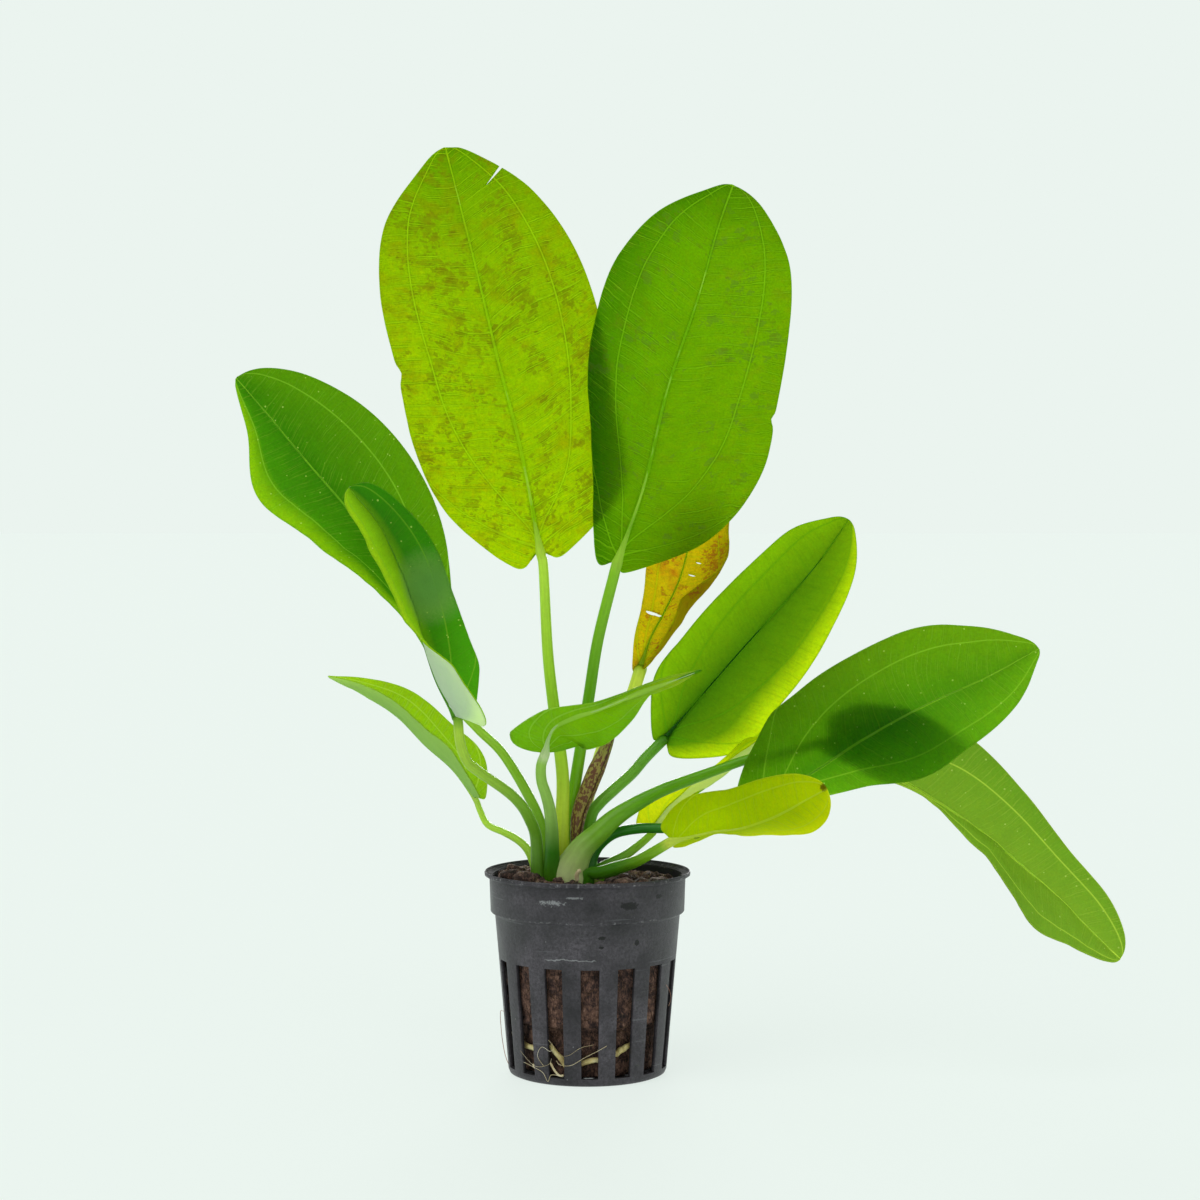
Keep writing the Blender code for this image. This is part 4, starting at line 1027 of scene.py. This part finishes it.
def make_pot():
    """One turned wall with its slots left open, thickened inwards."""
    settings = bpy.context.scene.plant_pot
    profile = [
        (LIP_RADIUS - 0.25 * MM, POT_HEIGHT), (LIP_RADIUS, POT_HEIGHT - 0.3 * MM),
        (LIP_RADIUS - 0.05 * MM, POT_HEIGHT - LIP_DEPTH * 0.8),
        (LIP_RADIUS - 0.6 * MM, POT_HEIGHT - LIP_DEPTH - 0.1 * MM),
        (COLLAR_RADIUS, POT_HEIGHT - LIP_DEPTH - 0.4 * MM),
        (COLLAR_RADIUS - 0.05 * MM, POT_HEIGHT - LIP_DEPTH - 1.2 * MM),
        (STEP_RADIUS, STEP_HEIGHT), (STEP_RADIUS - 0.25 * MM, STEP_HEIGHT - 0.3 * MM),
        (BODY_RADIUS + 0.3 * MM, STEP_HEIGHT - STEP_DROP + 0.05 * MM),
        (BODY_RADIUS, STEP_HEIGHT - STEP_DROP - 0.3 * MM),
        (wall_radius(SLOT_TOP), SLOT_TOP), (wall_radius(15 * MM), 15 * MM),
        (wall_radius(SLOT_BOTTOM), SLOT_BOTTOM), (BASE_RADIUS, BASE_EDGE),
        (BASE_RADIUS - 0.3 * BASE_EDGE, 0.3 * BASE_EDGE), (BASE_RADIUS - BASE_EDGE, 0.0),
        (BASE_SLOT_OUTER, 0.0), (BASE_SLOT_INNER, 0.0), (0.0, 0.0),
    ]
    steps = SLOT_COUNT * STEPS_A_SLOT
    pitch = 2 * math.pi / SLOT_COUNT
    bm = spin_profile(profile, steps, FIRST_SLOT - pitch * SLOT_STEPS / STEPS_A_SLOT / 2)
    gone = []
    for face in bm.faces:
        middle = face.calc_center_median()
        turn = (math.atan2(middle.y, middle.x) - FIRST_SLOT + pitch / 2) % pitch - pitch / 2
        in_slot = abs(turn) < pitch * SLOT_STEPS / STEPS_A_SLOT / 2
        side = SLOT_BOTTOM < middle.z < SLOT_TOP
        under = middle.z < 0.1 * MM and BASE_SLOT_INNER < middle.xy.length < BASE_SLOT_OUTER
        if in_slot and (side or under):
            gone.append(face)
    bmesh.ops.delete(bm, geom=gone, context="FACES")
    pot = new_piece("pot", bm, [pot_surface()], sharp=50)
    wall = pot.modifiers.new("Wall", "SOLIDIFY")
    wall.thickness = settings.wall
    wall.offset = -1.0
    wall.use_even_offset = True
    soften = pot.modifiers.new("Edges", "BEVEL")
    soften.width = 0.12 * MM
    soften.segments = 2
    soften.limit_method = "ANGLE"
    soften.angle_limit = math.radians(50)
    hand_over(pot, "pot", "net_pot")


def soil_height(x, y):
    """Height of the medium's top: heaped at the left, lower at the back right, lumpy all over."""
    heap = 2.7 * MM * math.exp(-((x + 17 * MM) ** 2 + (y + 2 * MM) ** 2) / (9 * MM) ** 2)
    dip = 1.6 * MM * math.exp(-((x - 12 * MM) ** 2 + (y - 12 * MM) ** 2) / (9 * MM) ** 2)
    lumps = noise.fractal(Vector((x, y, 0.003)) / (4.5 * MM), 0.7, 2.0, 4)
    return MEDIUM_TOP + heap - dip + lumps * 1.1 * MM


def make_medium():
    """The plug of peat and coir: heaped on top and lumpy where the slots show it."""
    settings = bpy.context.scene.plant_medium
    wall = WALL + PLUG_GAP
    top = [(radius * MM, MEDIUM_TOP) for radius in np.arange(0.0, 22.6, 0.5)]
    sides = [(COLLAR_RADIUS - wall - 0.4 * MM, MEDIUM_TOP - 1.5 * MM),
             (COLLAR_RADIUS - wall - 0.5 * MM, STEP_HEIGHT + 1.2 * MM)]
    sides += [(wall_radius(z * MM) - wall, z * MM) for z in np.arange(39.0, 13.9, -0.6)]
    sides += [(WAIST_RADIUS - (WAIST_HEIGHT - z * MM) * WAIST_TAPER, z * MM)
              for z in np.arange(13.2, 1.4, -0.6)]
    bm = spin_profile([*top, *sides, (0.0, 1.5 * MM)], 200, 0.0)
    for vert in bm.verts:
        place = vert.co.copy()
        if place.xy.length < 22.4 * MM and place.z > MEDIUM_TOP - 0.1 * MM:
            vert.co.z = soil_height(place.x, place.y)
        elif place.z < 39 * MM and place.xy.length > 10 * MM:
            rough = noise.fractal(place / (2.6 * MM), 0.6, 2.0, 5)
            outward = Vector((place.x, place.y, 0)).normalized()
            vert.co += outward * (rough * settings.lumpiness - 0.25 * MM)
            vert.co += Vector((0, 0, noise.noise(place / (1.7 * MM)) * 0.3 * MM))
    bmesh.ops.recalc_face_normals(bm, faces=bm.faces)
    earth = [(0.28, "#120D0C"), (0.42, "#3E2C28"), (0.56, "#745648"), (0.75, "#A88A78")]
    piece = new_piece("peat_plug", bm, [fibre_surface("peat_and_coir", earth, 1.0)])
    hand_over(piece, "medium", "growing_medium")


# Larger chips of bark on the plug's top: place and size in mm
CHIPS = [((-15.0, -13.0), 3.2), ((-18.6, -7.5), 2.6), ((-12.0, -16.5), 2.2), ((9.0, -15.5), 2.6),
         ((13.5, -13.0), 2.2), ((17.0, -10.5), 2.6), ((5.5, -18.0), 1.6),
         ((-16.2, 13.5), 2.2), ((-13.0, 9.0), 1.6), ((2.6, 2.2), 1.3), ((10.7, 11.0), 2.0),
         ((15.5, 14.0), 1.8), ((13.0, 4.0), 1.6), ((17.5, -3.0), 1.7), ((-18.5, -3.0), 1.6)]


def make_crumbs():
    """Loose crumbs of peat and bark on top of the plug."""
    settings = bpy.context.scene.plant_medium
    draw = random.Random(4)
    bm = bmesh.new()
    for _ in range(settings.crumbs):
        turn = draw.uniform(0, 2 * math.pi)
        radius = 21.6 * MM * math.sqrt(draw.random())
        x, y = radius * math.cos(turn), radius * math.sin(turn)
        size = draw.uniform(0.35, 1.25) * MM * (1.25 if x > 4 * MM else 1.0)
        made = bmesh.ops.create_icosphere(bm, subdivisions=2, radius=1.0)["verts"]
        shape = Vector((draw.uniform(0.7, 1.3), draw.uniform(0.7, 1.3), draw.uniform(0.5, 0.9)))
        seed = Vector([draw.uniform(-9, 9) for _ in range(3)])
        for vert in made:
            vert.co *= 1 + 0.45 * noise.noise(vert.co * 1.4 + seed)
            vert.co = vert.co * shape * size
            vert.co += Vector((x, y, soil_height(x, y) + size * 0.15))
    for (x, y), size in CHIPS:
        made = bmesh.ops.create_icosphere(bm, subdivisions=2, radius=1.0)["verts"]
        seed = Vector((x, y, size))
        for vert in made:
            vert.co *= 1 + 0.4 * noise.noise(vert.co * 1.2 + seed)
            vert.co = Vector((vert.co.x, vert.co.y * 0.8, vert.co.z * 0.55)) * size * MM
            vert.co += Vector((x * MM, y * MM, soil_height(x * MM, y * MM) + size * 0.3 * MM))
    earth = [(0.28, "#120D0B"), (0.44, "#40302A"), (0.58, "#7A6052"), (0.78, "#A88E7C")]
    piece = new_piece("peat_crumbs", bm, [fibre_surface("loose_peat", earth, 0.8)])
    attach(piece, "root")


def strand(bm, points, radius, sides=5):
    """Adds a thin closed strand through the given points to bm."""
    points = [Vector(point) for point in points]
    rows = len(points) - 1
    made = bmesh.ops.create_grid(bm, x_segments=sides, y_segments=rows, size=1.0)["verts"]
    guide = Vector((0.3, 0.2, 0.93))
    for vert in made:
        i = round((vert.co.y + 1) / 2 * rows)
        turn = (vert.co.x + 1) * math.pi
        ahead = (points[min(i + 1, rows)] - points[max(i - 1, 0)]).normalized()
        side = ahead.cross(guide).normalized()
        other = ahead.cross(side)
        taper = radius * (0.35 if i in (0, rows) else 1.0)
        vert.co = points[i] + (side * math.cos(turn) + other * math.sin(turn)) * taper
    bmesh.ops.remove_doubles(bm, verts=made, dist=radius * 0.02)
    ends = [edge for edge in bm.edges if edge.is_boundary]
    bmesh.ops.holes_fill(bm, edges=ends, sides=0)


def make_fibres():
    """Coir fibres that lie on the plug's side, seen in the slots."""
    settings = bpy.context.scene.plant_medium
    draw = random.Random(7)
    bm = bmesh.new()
    for _ in range(settings.fibres):
        turn = draw.uniform(0, 2 * math.pi)
        height = draw.uniform(3, 30) * MM
        lean = draw.uniform(-1, 1)
        length = draw.uniform(2, 6) * MM
        points = []
        for step in range(6):
            share = step / 5 - 0.5
            h = height + share * length * math.cos(lean * 1.6)
            above = h > WAIST_HEIGHT + 0.1 * MM
            radius = wall_radius(h) - 1.25 * MM if above else WAIST_RADIUS - 0.1 * MM
            bend = draw.uniform(-0.3, 0.3) * MM
            angle = turn + (share * length * math.sin(lean * 1.6) + bend) / radius
            points.append((radius * math.cos(angle), radius * math.sin(angle), h))
        strand(bm, points, draw.uniform(0.05, 0.1) * MM, 4)
    bmesh.ops.recalc_face_normals(bm, faces=bm.faces)
    straw = [(0.25, "#2C1E16"), (0.5, "#4E3828"), (0.8, "#7C6048")]
    piece = new_piece("coir_fibres", bm, [fibre_surface("coir_fibre", straw, 2.0)])
    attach(piece, "root")


def make_crown():
    """The rootstock between the stalks: squat and brown-green."""
    bm = bmesh.new()
    bmesh.ops.create_uvsphere(bm, u_segments=48, v_segments=24, radius=1.0)
    for vert in bm.verts:
        place = vert.co.copy()
        place *= 1 + 0.06 * noise.noise(place * 3)
        vert.co = CROWN_PLACE + place * CROWN_SIZE
    bark = [(0.25, "#4C4418"), (0.5, "#7C8030"), (0.75, "#A0A850")]
    piece = new_piece("rootstock", bm, [fibre_surface("rootstock_skin", bark, 1.5)])
    hand_over(piece, "crown", "crown")


def make_roots():
    """Thick roots that circle inside the wall."""
    cream = [(0.3, "#8E7848"), (0.48, "#CBBB78"), (0.7, "#EDE3B0")]
    surface = root_surface("living_root", cream)
    for name, root in ROOTS.items():
        start, end = [math.radians(a - 90) for a in root["angles"]]
        shares = np.linspace(0, 1, 60)
        points, radii = [], []
        for share in shares:
            turn = start + (end - start) * share
            sway = noise.noise(Vector((share * 5, start, 0.4)))
            height = along_leaf(root["heights"], share) * MM + sway * 0.8 * MM
            circle = ROOT_CIRCLE + sway * 0.5 * MM
            points.append((circle * math.cos(turn), circle * math.sin(turn), height))
            radii.append(0.75 * MM * (0.75 + 0.25 * math.sin(math.pi * share))
                         * (1 + 0.12 * noise.noise(Vector((share * 14, 2.0, start)))))
        piece = make_tube(f"thick_{name}", points, radii, radii, 12, [surface])
        hand_over(piece, "roots", name)


# Fine roots that hang out of the slots, in mm: radius, how far they stand off the wall, and places on
# the pot's front as (x, z)
HAIRS = [
    (0.06, 0.3, [(-15.5, 4.9), (-12.6, 4.0), (-10.7, 3.1), (-9.5, 1.1), (-8.6, 2.8), (-5.8, 2.6)]),
    (0.06, 0.5, [(-7.5, 6.5), (-6.5, 5.5), (-3.9, 5.5), (-0.7, 7.4), (2.6, 9.1), (4.8, 10.3)]),
    (0.08, 0.8, [(-20.4, 16.2), (-21.6, 14.6), (-21.3, 9.1), (-20.4, 5.1), (-19.4, 3.1)]),
    (0.05, 0.4, [(19.2, 23.4), (20.2, 21.2), (20.5, 19.1), (19.9, 17.6)]),
    (0.04, 0.3, [(-16.4, 7.6), (-13.9, 5.2), (-11.8, 4.4), (-9.2, 5.4), (-8.6, 6.9)]),
    (0.05, 0.2, [(-9.4, 11.4), (-8.0, 9.6), (-9.0, 8.6), (-11.0, 9.4), (-12.0, 7.0), (-10.4, 4.6)]),
    (0.04, 0.3, [(-7.0, 7.6), (-4.4, 7.9), (-1.6, 9.8), (1.6, 10.6)]),
    (0.3, -0.8, [(-13.2, 4.6), (-12.4, 3.4), (-11.6, 2.6)]),
    (0.3, -0.7, [(-8.9, 5.6), (-7.9, 3.8), (-6.7, 2.6), (-5.6, 2.7)]),
]

# Pale root stub that stands up beside the crown, in mm
STUB = [(-2.4, -11.0, 48.6), (-2.6, -11.2, 49.8), (-2.3, -11.3, 50.9), (-1.5, -11.2, 51.5)]
STUB_RADIUS = 0.55 * MM


def front_point(x, z, off):
    """A point on the pot's front at x and z, off the wall by a distance, all in mm."""
    radius = wall_radius(z * MM) / MM + off
    return x * MM, -math.sqrt(max(radius ** 2 - x ** 2, 0.01)) * MM, z * MM


def make_hairs():
    """Fine roots outside the slots, thin as thread: cream in front, brown at the sides."""
    cream = [(0.3, "#94805C"), (0.5, "#C8B88C"), (0.7, "#E8E0C4")]
    brown = [(0.3, "#7C4C38"), (0.5, "#A8745C"), (0.7, "#C8A088")]
    for name, stops, sides in (("cream_threads", cream, False), ("brown_threads", brown, True)):
        bm = bmesh.new()
        for radius, off, places in HAIRS:
            if (abs(places[0][0]) > 18) == sides:
                route = np.array([front_point(x, z, off) for x, z in places]) / MM
                strand(bm, smooth_points(route, 8), radius * MM, 6)
        if not sides:
            strand(bm, smooth_points(STUB, 4), STUB_RADIUS, 10)
        bmesh.ops.recalc_face_normals(bm, faces=bm.faces)
        piece = new_piece(name, bm, [root_surface(name[:-1], stops)])
        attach(piece, "root")


def make_stage():
    """Pale floor and surround, soft lights and the camera at the photo's angle."""
    settings = bpy.context.scene.plant_stage
    bm = bmesh.new()
    bmesh.ops.create_circle(bm, cap_ends=True, segments=96, radius=FLOOR_RADIUS)
    surface, shader, add = new_surface("pale_floor")
    feed(shader, {"Base Color": settings.pale, "Roughness": 1.0, "Specular IOR Level": 0.0})
    glow = add("Emission", settings.pale, settings.floor_glow)
    feed(surface.node_tree.nodes["Material Output"], {"Surface": add("MixShader", 0.8, shader, glow)})
    floor = new_piece("floor", bm, [surface])

    # The surround looks pale from everywhere, and lights the plant from the back more than the front
    world = bpy.data.worlds.new("pale_surround")
    world.use_nodes = True
    add = partial(add_node, world.node_tree)
    back = world.node_tree.nodes["Background"]
    feed(back, {"Color": settings.pale})
    side = add("SeparateXYZ", add("TexCoord").outputs["Generated"])
    strength = add("MapRange SMOOTHSTEP", side.outputs["Y"], -0.3, 0.5, settings.surround_front,
                   settings.surround_back)
    lit = add("Background", settings.pale, strength)
    mixed = add("MixShader", add("LightPath").outputs["Is Camera Ray"], lit, back)
    feed(world.node_tree.nodes["World Output"], {"Surface": mixed})
    bpy.context.scene.world = world

    # Wide soft lights, as strong near the plant as far from it, so that the floor stays even
    for name, place, spread, power in (
            ("key", (-0.6, -0.75, 1.3), 50, settings.key_power),
            ("fill", (1.0, -0.8, 0.6), 60, settings.key_power * 0.3),
            ("back", (0.05, 1.0, 0.25), 32, settings.back_power)):
        light = bpy.data.lights.new(name, "SUN")
        light.angle = math.radians(spread)
        light.energy = power
        lamp = bpy.data.objects.new(name, light)
        lamp.location = place
        lamp.rotation_euler = Vector(place).to_track_quat("Z", "Y").to_euler()
        bpy.context.scene.collection.objects.link(lamp)

    camera = bpy.data.cameras.new("front_view")
    camera.lens = settings.lens
    camera.sensor_width = 36.0
    camera.clip_start = 0.01
    view = bpy.data.objects.new("front_view", camera)
    view.location = CAMERA_PLACE
    view.rotation_euler = (math.pi / 2 - CAMERA_DIP, 0.0, 0.0)
    bpy.context.scene.collection.objects.link(view)
    bpy.context.scene.camera = view
    bpy.context.scene.view_settings.view_transform = "Standard"


class PLANT_PG_leaves(bpy.types.PropertyGroup):
    """Sizes and finish of the leaf blades"""

    thickness: bpy.props.FloatProperty(
        name="Thickness", description="Thickness of a leaf blade", default=0.35 * MM,
        subtype="DISTANCE", unit="LENGTH")
    cell: bpy.props.FloatProperty(
        name="Mesh size", description="Size of the faces of a leaf blade", default=0.7 * MM,
        subtype="DISTANCE", unit="LENGTH")
    vein_relief: bpy.props.FloatProperty(
        name="Vein relief", description="How far the side veins stand out", default=0.1 * MM,
        subtype="DISTANCE", unit="LENGTH")
    swell: bpy.props.FloatProperty(
        name="Swell", description="Height of the soft waves in a blade", default=0.5 * MM,
        subtype="DISTANCE", unit="LENGTH")
    roughness: bpy.props.FloatProperty(
        name="Roughness", description="Roughness of the leaf's skin", default=0.33, min=0, max=1,
        subtype="FACTOR")
    # Strength of the painted shade on the veins' flanks
    vein_shade_contrast: bpy.props.FloatProperty(
        name="Vein contrast", description="How dark the flanks of the veins are", default=0.7,
        min=0, max=1, subtype="FACTOR")
    light_through: bpy.props.FloatProperty(
        name="Light through", description="Share of the light that passes through", default=0.8,
        min=0, max=1, subtype="FACTOR")


class PLANT_PG_pot(bpy.types.PropertyGroup):
    """Sizes and finish of the net pot"""

    wall: bpy.props.FloatProperty(
        name="Wall", description="Thickness of the pot's wall", default=WALL,
        subtype="DISTANCE", unit="LENGTH")
    tone: bpy.props.FloatVectorProperty(
        name="Tone", description="Tint over the pot's greys", default=(1.0, 1.0, 1.0), min=0, max=1,
        subtype="COLOR")
    # Also sets the painted highlight that the dust band on the step makes
    dust: bpy.props.FloatProperty(
        name="Dust", description="Amount of pale dust", default=1.0, min=0, max=1,
        subtype="FACTOR")


class PLANT_PG_medium(bpy.types.PropertyGroup):
    """Texture of the growing medium"""

    lumpiness: bpy.props.FloatProperty(
        name="Lumpiness", description="Height of the lumps on the plug's side", default=0.45 * MM,
        subtype="DISTANCE", unit="LENGTH")
    crumbs: bpy.props.IntProperty(
        name="Crumbs", description="Number of loose crumbs on top", default=260, min=0)
    fibres: bpy.props.IntProperty(
        name="Fibres", description="Number of coir fibres on the plug", default=500, min=0)


class PLANT_PG_stage(bpy.types.PropertyGroup):
    """Floor, lights and camera"""

    pale: bpy.props.StringProperty(
        name="Floor colour", description="Colour of the floor", default="#EBF4EF")
    surround_front: bpy.props.FloatProperty(
        name="Surround in front", description="Light of the surround in front", default=0.35, min=0)
    surround_back: bpy.props.FloatProperty(
        name="Surround behind", description="Light of the surround behind", default=0.62, min=0)
    key_power: bpy.props.FloatProperty(
        name="Key light", description="Strength of the key light", default=1.2, min=0)
    back_power: bpy.props.FloatProperty(
        name="Back light", description="Strength of the light behind", default=2.2, min=0)
    floor_glow: bpy.props.FloatProperty(
        name="Floor glow", description="Light of the floor itself, to match the surround",
        default=1.025, min=0)
    lens: bpy.props.FloatProperty(
        name="Lens", description="Focal length of the camera in mm", default=76.75, min=1)


class PLANT_OT_pot(bpy.types.Operator):
    """Makes the net pot"""

    bl_idname = "plant.pot"
    bl_label = "Net pot"

    def execute(self, context):
        make_pot()
        return {"FINISHED"}


class PLANT_OT_medium(bpy.types.Operator):
    """Makes the growing medium with its crumbs and fibres"""

    bl_idname = "plant.medium"
    bl_label = "Growing medium"

    def execute(self, context):
        make_medium()
        make_crumbs()
        make_fibres()
        return {"FINISHED"}


class PLANT_OT_roots(bpy.types.Operator):
    """Makes the rootstock and the roots"""

    bl_idname = "plant.roots"
    bl_label = "Rootstock and roots"

    def execute(self, context):
        make_crown()
        make_roots()
        make_hairs()
        return {"FINISHED"}


class PLANT_OT_blades(bpy.types.Operator):
    """Makes the leaf blades"""

    bl_idname = "plant.blades"
    bl_label = "Leaf blades"

    def execute(self, context):
        for name, leaf in LEAVES.items():
            make_blade(name, leaf, {**PLAIN_LOOK, **LOOKS[name]})
        return {"FINISHED"}


class PLANT_OT_stems(bpy.types.Operator):
    """Makes the leaf stems and the rolled leaf"""

    bl_idname = "plant.stems"
    bl_label = "Leaf stems"

    def execute(self, context):
        for name, leaf in LEAVES.items():
            make_stem(name, leaf, {**PLAIN_LOOK, **LOOKS[name]})
        make_rolled()
        return {"FINISHED"}


class PLANT_OT_stage(bpy.types.Operator):
    """Makes the floor, the lights and the camera"""

    bl_idname = "plant.stage"
    bl_label = "Stage"

    def execute(self, context):
        make_stage()
        return {"FINISHED"}


OPERATORS = (PLANT_OT_stage, PLANT_OT_pot, PLANT_OT_medium, PLANT_OT_roots, PLANT_OT_blades,
             PLANT_OT_stems)
GROUPS = {"plant_leaves": PLANT_PG_leaves, "plant_pot": PLANT_PG_pot,
          "plant_medium": PLANT_PG_medium, "plant_stage": PLANT_PG_stage}


class PLANT_PT_panel(bpy.types.Panel):
    """Lists the plant's sizes and the operators that build it"""

    bl_label = "Potted sword plant"
    bl_idname = "PLANT_PT_panel"
    bl_space_type = "VIEW_3D"
    bl_region_type = "UI"
    bl_category = "Plant"

    def draw(self, context):
        for operator in OPERATORS:
            self.layout.operator(operator.bl_idname)
        for name, group in GROUPS.items():
            box = self.layout.box()
            for key in group.__annotations__:
                box.prop(getattr(context.scene, name), key)


def register():
    for group in GROUPS.values():
        bpy.utils.register_class(group)
    for operator in OPERATORS:
        bpy.utils.register_class(operator)
    bpy.utils.register_class(PLANT_PT_panel)
    for name, group in GROUPS.items():
        setattr(bpy.types.Scene, name, bpy.props.PointerProperty(type=group))


def unregister():
    for name in GROUPS:
        delattr(bpy.types.Scene, name)
    bpy.utils.unregister_class(PLANT_PT_panel)
    for operator in reversed(OPERATORS):
        bpy.utils.unregister_class(operator)
    for group in reversed(list(GROUPS.values())):
        bpy.utils.unregister_class(group)


def main():
    register()
    bpy.ops.plant.stage()
    bpy.ops.plant.pot()
    bpy.ops.plant.medium()
    bpy.ops.plant.roots()
    bpy.ops.plant.blades()
    bpy.ops.plant.stems()
    bpy.context.view_layer.update()


if __name__ == "__main__":
    main()
